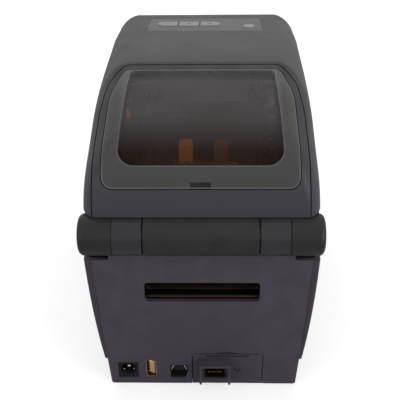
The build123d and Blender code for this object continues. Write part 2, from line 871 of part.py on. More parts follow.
def motor_screws():
    outer = -plate_half - plate_thickness
    return [
        rod_x(2.3, (outer - 1.6, outer), y, z) + rod_x(1.25, (outer, -plate_half + 4), y, z)
        for y, z in motor_screw_places()]


def drive_gear(teeth, centre, phase, bore):
    outline = Plane.YZ * gear_outline(teeth, gear_module, phase, tooth_backlash)
    gear = prism_x(outline, (-gear_near - gear_width, -gear_near))
    return Pos(0, *centre) * gear - rod_x(bore, (-60, 0), *centre)


def meshed_phase(phase, teeth, other_teeth, direction):
    """Phase of a gear so that its gap meets the tooth of the gear it follows."""
    return direction + pi + (pi - (phase - direction) * teeth) / other_teeth


def drive_phases():
    idler, pinion = gear_centres()
    to_idler = atan2(idler[1] - platen_z, idler[0] - platen_y)
    to_pinion = atan2(pinion[1] - idler[1], pinion[0] - idler[0])
    platen_phase = 0.0
    idler_phase = meshed_phase(platen_phase, platen_teeth, idler_teeth, to_idler)
    return platen_phase, idler_phase, meshed_phase(idler_phase, idler_teeth, pinion_teeth, to_pinion)


def platen_roller():
    tube = rod_x(platen_radius, (-platen_half, platen_half), platen_y, platen_z)
    return tube - rod_x(platen_shaft_radius, (-60, 60), platen_y, platen_z)


def platen_shaft():
    ends = (-gear_near - gear_width - 0.6, plate_half + plate_thickness + 2)
    return chamfer(rod_x(platen_shaft_radius, ends, platen_y, platen_z).edges(), 0.3)


def platen_bearings():
    """Flanged bushes pressed into the side plates."""
    outer = plate_half + plate_thickness
    bush = rod_x(bush_radius, (plate_half, outer), platen_y, platen_z)
    bush += rod_x(bush_radius + 1.2, (outer, outer + 0.6), platen_y, platen_z)
    bush -= rod_x(platen_shaft_radius + fit_gap, (0, 60), platen_y, platen_z)
    return [bush, mirrored(bush)]


def motor_pinion(phase):
    """Pinion and rotor shaft in one piece."""
    centre = gear_centres()[1]
    return drive_gear(pinion_teeth, centre, phase, 1.5) + rod_x(
        1.5, (-gear_near - gear_width - 0.6, -plate_half + 8), *centre)


def idler_pin():
    return rod_x(2.0, (-gear_near - gear_width - 0.8, -plate_half), *gear_centres()[0])


def media_sensor():
    """Gap sensor that slides across the label path on its rod."""
    block_top = deck_top - deck_thickness - 0.3
    body = block((-5, 5), (sensor_y - 5, sensor_y + 5), (deck_top - 6.5, block_top))
    body += block((-3.5, 3.5), (sensor_y - 1.7, sensor_y + 1.7), (block_top, deck_top - 0.1))
    return body - rod_x(sensor_rod_radius + fit_gap, (-10, 10), sensor_y, sensor_rod_z)


def sensor_rod():
    outer = plate_half + plate_thickness
    return rod_x(sensor_rod_radius, (-outer, outer), sensor_y, sensor_rod_z)


def coil_spring(radius, wire_radius, turns, length):
    """Round-wire helix between two seats, along +Z from the origin."""
    height = length - 2 * wire_radius - 2 * joint_gap
    path = Helix(pitch=height / turns, height=height, radius=radius)
    profile = Plane(path @ 0, z_dir=path % 0) * Circle(wire_radius)
    return Pos(0, 0, wire_radius + joint_gap) * sweep(profile, path=path)


# Latch

def latch_bar():
    """Cross bar with a hook at each end."""
    bar = block((-latch_half, latch_half), (latch_bar_front, latch_bar_rear), (latch_bar_low, latch_bar_high))
    for side in (-1, 1):
        x = (side * (latch_spring_x - 1.5), side * (latch_spring_x + 1.5))
        bar += block(x, (latch_bar_rear - 2, latch_bar_rear), (latch_spring_z - 1.8, latch_bar_low))
    return bar + latch_hook(-1) + latch_hook(1)


def latch_hook(side):
    x = (side * (hook_x - hook_thickness / 2), side * (hook_x + hook_thickness / 2))
    stem_rear = latch_bar_front + 4
    nose_low = strike_z + strike_radius + 0.3
    hook = block(x, (latch_bar_front, stem_rear), (latch_bar_high, nose_low + 2.4))
    tip = strike_y - strike_radius - latch_clearance
    return hook + block(x, (stem_rear, tip), (nose_low, nose_low + 2.4))


def release_tab(side):
    x = (side * latch_half, side * (release_reach - 1))
    base = block(x, (latch_bar_front - 3, latch_bar_rear), (latch_bar_low - 1.9, latch_bar_high + 1.7))
    for number in range(4):
        y = latch_bar_front - 2 + 2.4 * number
        base += block((side * (release_reach - 1), side * release_reach), (y, y + 1.1), (71.2, 76.8))
    return base


def latch_springs():
    spring = Pos(latch_spring_x, latch_bar_rear, latch_spring_z) * Rot(-90, 0, 0) * coil_spring(
        1.4, 0.3, 14, chassis_rear - 2 - latch_bar_rear)
    return [spring, mirrored(spring)]


def latch_strikes():
    """Steel pins on the lid that the hooks hold."""
    inner = shell_half - wall
    y = (strike_y - strike_radius, strike_y + 6.5)
    strike = block((inner - 1.6, inner), y, (strike_z - 2, strike_z + 11))
    strike += rod_x(strike_radius, (hook_x - hook_thickness / 2 - 0.6, inner - 1.6), strike_y, strike_z)
    return [strike, mirrored(strike)]


# Hinge

def hinge_shaft():
    half = barrel_width / 2 - cap_wall - 0.4
    return rod_x(shaft_radius, (-half, half), hinge_y, hinge_z)


def barrel_segment(low, high):
    """Length of the barrel with a small chamfer at both ends."""
    return chamfer(rod_x(barrel_radius, (low, high), hinge_y, hinge_z).edges(), barrel_edge)


def hinge_knuckle_centre():
    """Fixed middle of the barrel, on a saddle behind the well."""
    knuckle = barrel_segment(-knuckle_half, knuckle_half)
    half = knuckle_half - 3
    knuckle += block((-half, half), (saddle_front, panel_back - joint_gap), (saddle_low, hinge_z - 4))
    return knuckle - rod_x(shaft_radius, (-60, 60), hinge_y, hinge_z)


def hinge_arm():
    """Lid knuckle with the web that carries the rear frame, on the +X side."""
    low = knuckle_half + knuckle_gap
    inner = rear_y - wall - joint_gap
    arm = barrel_segment(low, outer_knuckle_end)
    arm += block((low + 1.5, outer_knuckle_end - 1.5), (inner - 5, inner), (hinge_z, hinge_z + 20))
    return arm - rod_x(shaft_radius + fit_gap, (0, 60), hinge_y, hinge_z)


def hinge_cap():
    """Rounded end of the barrel, on the +X side."""
    end = barrel_width / 2
    cap = rod_x(barrel_radius, (outer_knuckle_end, end), hinge_y, hinge_z)
    cap = chamfer(cap.edges().sort_by(Axis.X)[:1], barrel_edge)
    cap = fillet(cap.edges().sort_by(Axis.X)[-1:], cap_round)
    return cap - rod_x(shaft_radius + fit_gap, (0, end - cap_wall), hinge_y, hinge_z)


# Lid

def rear_frame():
    """Dark rear half of the lid around the window."""
    return lid_shell() - split_side(-split_gap) - window_prism(window_gap) - arch_groove()


def top_cover():
    """Lighter cover over the top, front and sides."""
    panel = control_plane() * Box(2 * (control_half_x + joint_gap), 2 * (control_half_y + joint_gap), 12)
    cover = (lid_shell() & split_side(split_gap)) - panel
    return cover - exit_mouth()


def window_panel():
    """Moulded insert around the clear pane, with a notch for the clip."""
    return (lid_shell() & window_prism(0)) - pane_prism(0) - clip_prism(joint_gap)


def window_pane():
    return lid_shell() & pane_prism(-joint_gap)


def window_clip():
    return lid_shell() & window_prism(0) & clip_prism(0)


def lid_chassis():
    """Carrier inside the lid: top plate, rear face and the lugs of the head pivot."""
    top = lid_plate_z + lid_plate_thickness
    carrier = block((-shell_half, shell_half), (lid_plate_front, lid_plate_rear), (lid_plate_z, top))
    carrier &= crown_solid(wall)
    carrier += block((-26.3, 26.3), (lid_plate_rear - 2, lid_plate_rear), (lid_plate_z - 11, lid_plate_z + 8))
    for side in (-1, 1):
        x = (side * lug_inner, side * lug_outer)
        carrier += block(x, (head_pivot_y - 5, head_pivot_y + 5), (head_pivot_z - 5, lid_plate_z))
    return carrier - rod_x(head_pivot_radius, (-60, 60), head_pivot_y, head_pivot_z)


def head_pivot_rod():
    return rod_x(head_pivot_radius, (-lug_outer - 1, lug_outer + 1), head_pivot_y, head_pivot_z)


def head_stack():
    """Heights of the ceramic's top, the heat sink's top and the bracket's top."""
    ceramic_top = head_bottom + ceramic_thickness
    sink_top = ceramic_top + sink_height
    return ceramic_top, sink_top, sink_top + bracket_thickness


def print_head():
    y = (head_front + 1, head_rear - 3)
    return block((-head_half + 1, head_half - 1), y, (head_bottom, head_stack()[0]))


def head_heat_sink():
    low, high, top = head_stack()
    sink = block((-head_half, head_half), (head_front, head_rear), (low, high))
    for groove in (4, 9, 14):
        y = head_front + groove
        sink -= block((-head_half - 1, head_half + 1), (y, y + 2), (low + 3, high - 1.2))
    return sink


def head_bracket():
    low, sink_top, top = head_stack()
    outer = lug_inner - 0.8
    rear = head_pivot_y + 4
    bracket = block((-outer, outer), (head_front + 1, rear), (sink_top, top))
    for side in (-1, 1):
        x = (side * (outer - 2), side * outer)
        bracket += block(x, (rear - 10, rear), (sink_top, head_pivot_z + 4.5))
    bracket -= block((-20, 20), (head_pivot_y - 12, head_pivot_y), (sink_top - 1, top + 1))
    return bracket - rod_x(head_pivot_radius + fit_gap, (-60, 60), head_pivot_y, head_pivot_z)


def head_springs():
    top = head_stack()[2]
    spring = Pos(18, head_front + 18, top) * coil_spring(3.0, 0.45, 6, lid_plate_z - top)
    return [spring, mirrored(spring)]


# Control panel

def control_panel():
    """Sloping panel with the button windows and posts for the switch board."""
    panel = Pos(0, 0, -control_thickness / 2) * Box(2 * control_half_x, 2 * control_half_y, control_thickness)
    for name in button_places:
        panel -= key_prism(name, 0, (-control_thickness - 1, 1))
    panel -= Pos(power_button_x, power_button_y) * Cylinder(power_button_radius + 1.3, 2)
    panel -= Pos(power_button_x, power_button_y) * Cylinder(power_button_radius, 20)
    for x, y in control_post_places:
        panel += rod_z(1.5, x, y, (-switch_board_depth, -control_thickness))
    return control_plane() * panel


def power_light():
    ring = Cylinder(power_button_radius + 1.2, 1.0) - Cylinder(power_button_radius + 0.1, 4)
    return control_plane() * (Pos(power_button_x, power_button_y, -0.5) * ring)


def key_prism(name, inset, z):
    """Prism of one flat key, whose outer side is rounded where it ends the row."""
    half = button_width / 2 - inset
    low, high = (inset - button_length / 2, button_length / 2 - inset)
    face = make_face(Polyline((-half, low), (half, low), (half, high), (-half, high), close=True))
    outer = button_round_sides[name]
    if outer:
        corners = face.vertices().sort_by(Axis.X)
        face = fillet(corners[-2:] if outer > 0 else corners[:2], button_end_radius - inset)
    return Pos(button_places[name], button_y, z[0]) * extrude(face, z[1] - z[0])


def flat_key(name):
    """Key cap with a flange under the panel and a stem over its switch."""
    x = button_places[name]
    cap = key_prism(name, button_gap, (-control_thickness - 0.2, button_rise))
    cap = fillet(cap.edges().group_by(Axis.Z)[-1], 0.3)
    flange = Box(button_width - 2 * button_gap, button_length + 2, 1.0)
    cap += Pos(x, button_y, -control_thickness - 0.7) * flange
    cap += rod_z(1.5, x, button_y, (-control_thickness - 2.2, -control_thickness - 1))
    return control_plane() * cap


def power_button():
    x, y = (power_button_x, power_button_y)
    cap = rod_z(power_button_radius - button_gap, x, y, (-control_thickness - 0.2, button_rise))
    cap = fillet(cap.edges().group_by(Axis.Z)[-1], 0.6)
    cap += rod_z(power_button_radius + 1.2, x, y, (-control_thickness - 1.2, -control_thickness - 0.2))
    return control_plane() * (cap + rod_z(1.5, x, y, (-control_thickness - 2.2, -control_thickness - 1)))


def switch_board():
    """Board under the buttons with one key switch below each."""
    board = Pos(0, 0, -switch_board_depth - 0.7) * Box(2 * control_half_x - 2, 2 * control_half_y - 4, 1.4)
    places = [(x, button_y) for x in button_places.values()] + [(power_button_x, power_button_y)]
    for x, y in places:
        board += rod_z(1.8, x, y, (-switch_board_depth, -switch_board_depth + 1.2))
    return control_plane() * board


def save(name, solids):
    shape = Compound(children=list(solids)) if isinstance(solids, list) else solids
    export_step(shape, f"parts/{name}.step")


def main():
    idler_centre = gear_centres()[0]
    platen_phase, idler_phase, pinion_phase = drive_phases()
    nodes = {
        "base_tray": base_tray(),
        "rubber_feet": rubber_feet(),
        "case_screws": case_screws(),
        "body_housing": body_housing(),
        "front_bezel": front_bezel(),
        "tear_bar": tear_bar(),
        "rear_panel": rear_panel(),
        "slot_chute": slot_chute(),
        "dc_socket": dc_socket(),
        "usb_host_socket": usb_host_socket(),
        "usb_device_socket": usb_device_socket(),
        "main_board": main_board(),
        "lan_panel": lan_panel(),
        "lan_jack": lan_jack(),
        "media_well": media_well(),
        "guide_pinion": guide_pinion(),
        "label_guide_left": label_guide_left(),
        "label_guide_right": turned_half(label_guide_left()),
        "guide_tab_left": guide_tab_left(),
        "guide_tab_right": turned_half(guide_tab_left()),
        "label_stop_bar": label_stop_bar(),
        "print_chassis": print_chassis(),
        "stepper_motor": stepper_motor(),
        "motor_screws": motor_screws(),
        "motor_pinion": motor_pinion(pinion_phase),
        "idler_pin": idler_pin(),
        "idler_gear": drive_gear(idler_teeth, idler_centre, idler_phase, 2.0 + fit_gap),
        "platen_gear": drive_gear(platen_teeth, (platen_y, platen_z), platen_phase, platen_shaft_radius),
        "platen_shaft": platen_shaft(),
        "platen_roller": platen_roller(),
        "platen_bearings": platen_bearings(),
        "sensor_rod": sensor_rod(),
        "media_sensor": media_sensor(),
        "latch_bar": latch_bar(),
        "release_tabs": [release_tab(-1), release_tab(1)],
        "latch_springs": latch_springs(),
        "latch_strikes": latch_strikes(),
        "hinge_shaft": hinge_shaft(),
        "hinge_knuckle_centre": hinge_knuckle_centre(),
        "hinge_arms": [hinge_arm(), mirrored(hinge_arm())],
        "hinge_caps": [hinge_cap(), mirrored(hinge_cap())],
        "rear_frame": rear_frame(),
        "top_cover": top_cover(),
        "window_panel": window_panel(),
        "window_pane": window_pane(),
        "window_clip": window_clip(),
        "lid_chassis": lid_chassis(),
        "head_pivot_rod": head_pivot_rod(),
        "head_bracket": head_bracket(),
        "head_heat_sink": head_heat_sink(),
        "print_head": print_head(),
        "head_springs": head_springs(),
        "control_panel": control_panel(),
        "power_light": power_light(),
        "switch_board": switch_board(),
        "power_button": power_button(),
    }
    for name in button_places:
        nodes[name] = flat_key(name)
    for name, shape in nodes.items():
        save(name, shape)


main()
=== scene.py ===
"""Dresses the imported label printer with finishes, fine parts, light and a camera.

Everything is in metres in the part's own frame: +Z up, +Y the rear with the ports,
+X the side of the power inlet, the origin on the table under the middle of the box.
"""

import json
from math import cos, radians, sin

import bmesh
import bpy
import numpy as np
from mathutils import Matrix, Vector
from mathutils.bvhtree import BVHTree

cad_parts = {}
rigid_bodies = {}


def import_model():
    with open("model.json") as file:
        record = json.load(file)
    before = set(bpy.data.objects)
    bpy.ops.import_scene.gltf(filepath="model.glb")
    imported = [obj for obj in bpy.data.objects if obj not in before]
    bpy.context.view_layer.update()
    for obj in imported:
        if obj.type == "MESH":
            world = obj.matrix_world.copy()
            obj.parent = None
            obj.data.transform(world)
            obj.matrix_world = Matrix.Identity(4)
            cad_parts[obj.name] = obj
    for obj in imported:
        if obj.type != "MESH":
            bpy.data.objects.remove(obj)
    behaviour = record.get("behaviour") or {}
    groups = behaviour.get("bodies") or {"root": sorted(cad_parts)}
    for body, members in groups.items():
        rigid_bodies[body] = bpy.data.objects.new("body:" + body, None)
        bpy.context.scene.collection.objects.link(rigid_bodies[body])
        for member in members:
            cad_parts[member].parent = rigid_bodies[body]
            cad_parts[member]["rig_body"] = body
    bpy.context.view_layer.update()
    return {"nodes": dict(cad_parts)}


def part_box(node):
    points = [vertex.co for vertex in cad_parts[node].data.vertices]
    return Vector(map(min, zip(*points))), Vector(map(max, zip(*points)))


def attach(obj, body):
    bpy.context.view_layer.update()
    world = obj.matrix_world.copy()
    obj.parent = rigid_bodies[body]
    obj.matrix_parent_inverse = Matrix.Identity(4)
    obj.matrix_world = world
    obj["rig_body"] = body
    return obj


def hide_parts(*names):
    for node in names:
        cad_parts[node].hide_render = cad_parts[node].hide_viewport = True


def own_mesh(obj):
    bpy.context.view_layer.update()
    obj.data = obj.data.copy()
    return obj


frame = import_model()

MM = 0.001


def srgb(red, green, blue):
    """Linear colour of a screen colour given as three values up to 255."""
    values = np.array([red, green, blue]) / 255
    linear = np.where(values <= 0.04045, values / 12.92, ((values + 0.055) / 1.055) ** 2.4)
    return (*linear.tolist(), 1.0)


# Shader groups that several finishes share

def shader_group(name, inputs, outputs):
    """Empty node group with named inputs, as (label, kind, value), and outputs, as (label, kind)."""
    group = bpy.data.node_groups.new(name, "ShaderNodeTree")
    for label, kind, value in inputs:
        group.interface.new_socket(label, in_out="INPUT", socket_type=kind).default_value = value
    for label, kind in outputs:
        group.interface.new_socket(label, in_out="OUTPUT", socket_type=kind)
    return group, group.nodes.new("NodeGroupInput"), group.nodes.new("NodeGroupOutput")


def ramp(tree, source, low, high):
    """Value between 0 and 1 as source goes from low to high."""
    node = tree.nodes.new("ShaderNodeMapRange")
    node.clamp = True
    node.inputs["From Min"].default_value = low
    node.inputs["From Max"].default_value = high
    tree.links.new(source, node.inputs["Value"])
    return node.outputs["Result"]


def arithmetic(tree, operation, first, second):
    """Math node on two sockets or numbers."""
    node = tree.nodes.new("ShaderNodeMath")
    node.operation = operation
    for socket, value in zip(node.inputs, (first, second)):
        if isinstance(value, (int, float)):
            socket.default_value = value
        else:
            tree.links.new(value, socket)
    return node.outputs[0]


def blended(tree, share, first, second):
    """Colour that goes from first to second as share goes from 0 to 1."""
    node = tree.nodes.new("ShaderNodeMix")
    node.data_type = "RGBA"
    tree.links.new(share, node.inputs["Factor"])
    for socket, value in ((node.inputs["A"], first), (node.inputs["B"], second)):
        if isinstance(value, tuple):
            socket.default_value = value
        else:
            tree.links.new(value, socket)
    return node.outputs["Result"]


def noise(tree, place, scale, detail):
    """Noise over object coordinates, with scale in cells per metre."""
    node = tree.nodes.new("ShaderNodeTexNoise")
    node.inputs["Detail"].default_value = detail
    for socket, value in ((node.inputs["Vector"], place), (node.inputs["Scale"], scale)):
        if isinstance(value, (int, float)):
            socket.default_value = value
        else:
            tree.links.new(value, socket)
    return node.outputs["Fac"]


def object_place(tree):
    """Coordinates of the part's own frame, in metres."""
    return tree.nodes.new("ShaderNodeTexCoord").outputs["Object"]


def moulded_skin_group():
    """Grain of a textured mould: fine cells under a slower ripple, with cloudy tone and gloss."""
    group, given, made = shader_group(
        "Moulded skin",
        (("Colour", "NodeSocketColor", (0.1, 0.1, 0.1, 1)),
         ("Pale", "NodeSocketColor", (0.2, 0.2, 0.2, 1)),
         ("Grain Scale", "NodeSocketFloat", 2600.0), ("Cloud", "NodeSocketFloat", 0.2),
         ("Roughness", "NodeSocketFloat", 0.5), ("Gloss Spread", "NodeSocketFloat", 0.08)),
        (("Colour", "NodeSocketColor"), ("Roughness", "NodeSocketFloat"),
         ("Height", "NodeSocketFloat")))
    place = object_place(group)
    fine = noise(group, place, given.outputs["Grain Scale"], detail=3.0)
    cells = group.nodes.new("ShaderNodeTexVoronoi")
    cells.feature = "SMOOTH_F1"
    group.links.new(place, cells.inputs["Vector"])
    group.links.new(given.outputs["Grain Scale"], cells.inputs["Scale"])
    height = arithmetic(group, "ADD", arithmetic(group, "MULTIPLY", fine, 0.6), cells.outputs["Distance"])
    cloudy = ramp(group, noise(group, place, 34.0, detail=4.0), 0.35, 0.7)
    speckle = ramp(group, noise(group, place, 900.0, detail=2.0), 0.3, 0.75)
    patches = arithmetic(group, "ADD", cloudy, arithmetic(group, "MULTIPLY", speckle, 0.5))
    share = arithmetic(group, "MULTIPLY", patches, given.outputs["Cloud"])
    tone = blended(group, share, given.outputs["Colour"], given.outputs["Pale"])
    group.links.new(tone, made.inputs["Colour"])
    wiped = ramp(group, noise(group, place, 60.0, detail=3.0), 0.3, 0.7)
    centred = arithmetic(group, "SUBTRACT", wiped, 0.5)
    shift = arithmetic(group, "MULTIPLY", centred, given.outputs["Gloss Spread"])
    group.links.new(arithmetic(group, "ADD", given.outputs["Roughness"], shift), made.inputs["Roughness"])
    group.links.new(height, made.inputs["Height"])
    return group


def rubbed_edge_group():
    """Mask of the convex edges, broken up so that the wear comes and goes."""
    group, given, made = shader_group(
        "Rubbed edge", (("Strength", "NodeSocketFloat", 0.5),), (("Mask", "NodeSocketFloat"),))
    geometry = group.nodes.new("ShaderNodeNewGeometry")
    convex = ramp(group, geometry.outputs["Pointiness"], 0.53, 0.62)
    patchy = ramp(group, noise(group, object_place(group), 110.0, detail=3.0), 0.3, 0.65)
    mask = arithmetic(group, "MULTIPLY", convex, patchy)
    group.links.new(arithmetic(group, "MULTIPLY", mask, given.outputs["Strength"]), made.inputs["Mask"])
    return group


def settled_dust_group():
    """Mask of the thin dust on faces that look up, denser in slow patches."""
    group, given, made = shader_group(
        "Settled dust", (("Amount", "NodeSocketFloat", 0.1),), (("Mask", "NodeSocketFloat"),))
    geometry = group.nodes.new("ShaderNodeNewGeometry")
    split = group.nodes.new("ShaderNodeSeparateXYZ")
    group.links.new(geometry.outputs["Normal"], split.inputs[0])
    upward = ramp(group, split.outputs["Z"], 0.25, 1.0)
    patchy = ramp(group, noise(group, object_place(group), 75.0, detail=5.0), 0.25, 0.8)
    mask = arithmetic(group, "MULTIPLY", upward, patchy)
    group.links.new(arithmetic(group, "MULTIPLY", mask, given.outputs["Amount"]), made.inputs["Mask"])
    return group


def drawn_metal_group():
    """Fine scratches along one axis, and the roughness that goes with them."""
    group, given, made = shader_group(
        "Drawn metal",
        (("Stretch", "NodeSocketVector", (1.0, 1.0, 1.0)), ("Roughness", "NodeSocketFloat", 0.25)),
        (("Roughness", "NodeSocketFloat"), ("Height", "NodeSocketFloat")))
    scaled = group.nodes.new("ShaderNodeVectorMath")
    scaled.operation = "MULTIPLY"
    group.links.new(object_place(group), scaled.inputs[0])
    group.links.new(given.outputs["Stretch"], scaled.inputs[1])
    streaks = noise(group, scaled.outputs[0], 1500.0, detail=3.0)
    shift = arithmetic(group, "MULTIPLY", arithmetic(group, "SUBTRACT", streaks, 0.5), 0.3)
    group.links.new(arithmetic(group, "ADD", given.outputs["Roughness"], shift), made.inputs["Roughness"])
    group.links.new(streaks, made.inputs["Height"])
    return group


moulded_skin = moulded_skin_group()
rubbed_edge = rubbed_edge_group()
settled_dust = settled_dust_group()
drawn_metal = drawn_metal_group()


# Finishes

def along_axis(tree, axis, low, high):
    """Mask that goes from 0 to 1 between two places on an axis of the part."""
    split = tree.nodes.new("ShaderNodeSeparateXYZ")
    tree.links.new(object_place(tree), split.inputs[0])
    return ramp(tree, split.outputs[axis], low, high)


def new_finish(name):
    """Material with an empty Principled shader, and its node tree."""
    finish = bpy.data.materials.new(name)
    finish.use_nodes = True
    tree = finish.node_tree
    return finish, tree, tree.nodes["Principled BSDF"]


def placed_group(tree, group, **values):
    """Node that uses a shader group, with its inputs set by name."""
    node = tree.nodes.new("ShaderNodeGroup")
    node.node_tree = group
    for label, value in values.items():
        node.inputs[label.replace("_", " ")].default_value = value
    return node


def bumped(tree, shader, height, depth):
    """Bumps a shader by a height, with relief of a share of a millimetre."""
    bump = tree.nodes.new("ShaderNodeBump")
    bump.inputs["Strength"].default_value = depth
    bump.inputs["Distance"].default_value = MM
    tree.links.new(height, bump.inputs["Height"])
    tree.links.new(bump.outputs["Normal"], shader.inputs["Normal"])


dust_grey = srgb(150, 148, 144)


def plastic(name, colour, pale, roughness=0.5, depth=0.05, cloud=0.2, wear=0.5, dust=0.1,
            gloss=0.25, shift=None):
    """Moulded plastic: grained, a little cloudy, paler on rubbed edges and dusty on top.

    A shift of (axis, low, high, colour) changes its tone from one place to another.
    """
    finish, tree, shader = new_finish(name)
    skin = placed_group(
        tree, moulded_skin, Colour=colour, Pale=pale, Cloud=cloud, Roughness=roughness)
    worn = placed_group(tree, rubbed_edge, Strength=wear)
    dusty = placed_group(tree, settled_dust, Amount=dust)
    tone = skin.outputs["Colour"]
    if shift:
        axis, low, high, far_colour = shift
        tone = blended(tree, along_axis(tree, axis, low, high), tone, far_colour)
    tone = blended(tree, worn.outputs["Mask"], tone, pale)
    tone = blended(tree, dusty.outputs["Mask"], tone, dust_grey)
    tree.links.new(tone, shader.inputs["Base Color"])
    dulled = arithmetic(tree, "ADD", skin.outputs["Roughness"], dusty.outputs["Mask"])
    tree.links.new(dulled, shader.inputs["Roughness"])
    shader.inputs["Specular IOR Level"].default_value = gloss
    bumped(tree, shader, skin.outputs["Height"], depth)
    return finish


def metal(name, colour, roughness, stretch=(1.0, 1.0, 1.0)):
    """Bare or plated metal with fine scratches."""
    finish, tree, shader = new_finish(name)
    scratch_depth = 0.05
    drawn = placed_group(tree, drawn_metal, Stretch=stretch, Roughness=roughness)
    shader.inputs["Base Color"].default_value = colour
    shader.inputs["Metallic"].default_value = 1.0
    tree.links.new(drawn.outputs["Roughness"], shader.inputs["Roughness"])
    bumped(tree, shader, drawn.outputs["Height"], scratch_depth)
    return finish


def smoked_clear(name, colour, smear, high_colour, cover):
    """Tinted clear plastic as a film that covers part of what is behind it, with faint smears.

    The tint is cooler and paler towards the top of the lid.
    """
    finish, tree, shader = new_finish(name)
    smears = ramp(tree, noise(tree, object_place(tree), 45.0, detail=4.0), 0.4, 0.8)
    tint = blended(tree, along_axis(tree, "Z", 133 * MM, 143 * MM), colour, high_colour)
    share = arithmetic(tree, "MULTIPLY", smears, 0.4)
    tree.links.new(blended(tree, share, tint, smear), shader.inputs["Base Color"])
    spread = arithmetic(tree, "MULTIPLY", smears, 0.05)
    tree.links.new(arithmetic(tree, "ADD", spread, 0.2), shader.inputs["Roughness"])
    shader.inputs["IOR"].default_value = 1.5
    shader.inputs["Alpha"].default_value = cover
    return finish


def soft_rubber(name, colour):
    """Matt rubber with a coarse skin and chalky patches."""
    finish, tree, shader = new_finish(name)
    skin = placed_group(
        tree, moulded_skin, Colour=colour, Pale=srgb(96, 94, 92), Grain_Scale=1400.0, Cloud=0.25,
        Roughness=0.82, Gloss_Spread=0.12)
    tree.links.new(skin.outputs["Colour"], shader.inputs["Base Color"])
    tree.links.new(skin.outputs["Roughness"], shader.inputs["Roughness"])
    bumped(tree, shader, skin.outputs["Height"], depth=0.15)
    return finish


def amber_plastic(name, colour, deep):
    """Orange moulding that lets some light in at its thin places."""
    finish, tree, shader = new_finish(name)
    skin = placed_group(
        tree, moulded_skin, Colour=colour, Pale=deep, Grain_Scale=1800.0, Cloud=0.35, Roughness=0.4)
    tree.links.new(skin.outputs["Colour"], shader.inputs["Base Color"])
    tree.links.new(skin.outputs["Roughness"], shader.inputs["Roughness"])
    shader.inputs["Subsurface Weight"].default_value = 0.25
    shader.inputs["Subsurface Radius"].default_value = (0.004, 0.0015, 0.0004)
    bumped(tree, shader, skin.outputs["Height"], depth=0.04)
    return finish


def circuit_laminate(name):
    """Green lacquered board with a lattice of faint copper traces under the lacquer."""
    finish, tree, shader = new_finish(name)
    place = object_place(tree)
    lines = tree.nodes.new("ShaderNodeTexBrick")
    tree.links.new(place, lines.inputs["Vector"])
    lines.inputs["Scale"].default_value = 230.0
    lines.inputs["Color1"].default_value = srgb(26, 74, 48)
    lines.inputs["Color2"].default_value = srgb(22, 64, 42)
    lines.inputs["Mortar"].default_value = srgb(46, 104, 62)
    lines.inputs["Mortar Size"].default_value = 0.02
    tree.links.new(lines.outputs["Color"], shader.inputs["Base Color"])
    shader.inputs["Roughness"].default_value = 0.35
    shader.inputs["Coat Weight"].default_value = 0.4
    bumped(tree, shader, lines.outputs["Fac"], depth=0.1)
    return finish


# Slightly darker towards the rear between Y 8 and 24 mm: painted shade on the cover's rear part.
cover_plastic = plastic(
    "Cover plastic", srgb(84, 81, 84), srgb(100, 97, 100), roughness=0.46, cloud=0.07, depth=0.06,
    shift=("Y", 8 * MM, 24 * MM, srgb(80, 78, 81)))
# Darker towards the top between Z 120 and 149 mm: painted shade on the frame's curved, recessed upper
# band.
frame_plastic = plastic(
    "Frame plastic", srgb(71, 69, 77), srgb(86, 84, 92), roughness=0.42, cloud=0.08, depth=0.05,
    shift=("Z", 120 * MM, 149 * MM, srgb(33, 31, 36)))
wall_plastic = plastic(
    "Rear wall plastic", srgb(74, 67, 78), srgb(88, 81, 92), roughness=0.5, cloud=0.06, depth=0.06)
skirt_plastic = plastic(
    "Skirt plastic", srgb(66, 61, 69), srgb(82, 77, 85), roughness=0.48, cloud=0.07, depth=0.06)
barrel_plastic = plastic(
    "Barrel plastic", srgb(43, 41, 43), srgb(64, 62, 64), roughness=0.36, cloud=0.12, depth=0.04)
arm_plastic = plastic(
    "Hinge arm plastic", srgb(42, 41, 46), srgb(62, 61, 66), roughness=0.26, cloud=0.1, depth=0.03,
    gloss=0.4)
border_plastic = plastic(
    "Window border plastic", srgb(72, 70, 72), srgb(88, 86, 89), roughness=0.3, cloud=0.1, depth=0.02,
    wear=0.8, gloss=0.4, shift=("Z", 124 * MM, 144 * MM, srgb(70, 67, 66)))
clip_plastic = plastic(
    "Window clip plastic", srgb(26, 25, 27), srgb(56, 54, 57), roughness=0.4, cloud=0.1, depth=0.03)
# Lighter than the window border: painted highlight along the edges round the window.
rim_highlight_paint = plastic(
    "Window rim painted highlight", srgb(104, 102, 105), srgb(126, 124, 126), roughness=0.22, cloud=0.1,
    depth=0.02, gloss=0.5)
control_plastic = plastic(
    "Control panel plastic", srgb(106, 106, 108), srgb(122, 122, 124), roughness=0.4, cloud=0.08,
    depth=0.03)
key_plastic = plastic(
    "Key plastic", srgb(168, 168, 168), srgb(190, 190, 190), roughness=0.42, cloud=0.06, depth=0.03,
    dust=0.03)
mark_grey = plastic(
    "Grey sign paint", srgb(84, 84, 86), srgb(104, 104, 106), roughness=0.5, cloud=0.1, depth=0.03)
mark_white = plastic(
    "White sign paint", srgb(226, 228, 226), srgb(240, 240, 238), roughness=0.4, cloud=0.05, depth=0.02)
# Near-black: painted shade in the joint round the module's plate and in its engraved arrow.
seam_shade_paint = plastic(
    "Shadow line", srgb(16, 14, 17), srgb(40, 36, 42), roughness=0.7, cloud=0.2, depth=0.02, gloss=0.1)
inner_plastic = plastic(
    "Inner plastic", srgb(98, 72, 60), srgb(116, 90, 76), roughness=0.5, cloud=0.2, depth=0.05)
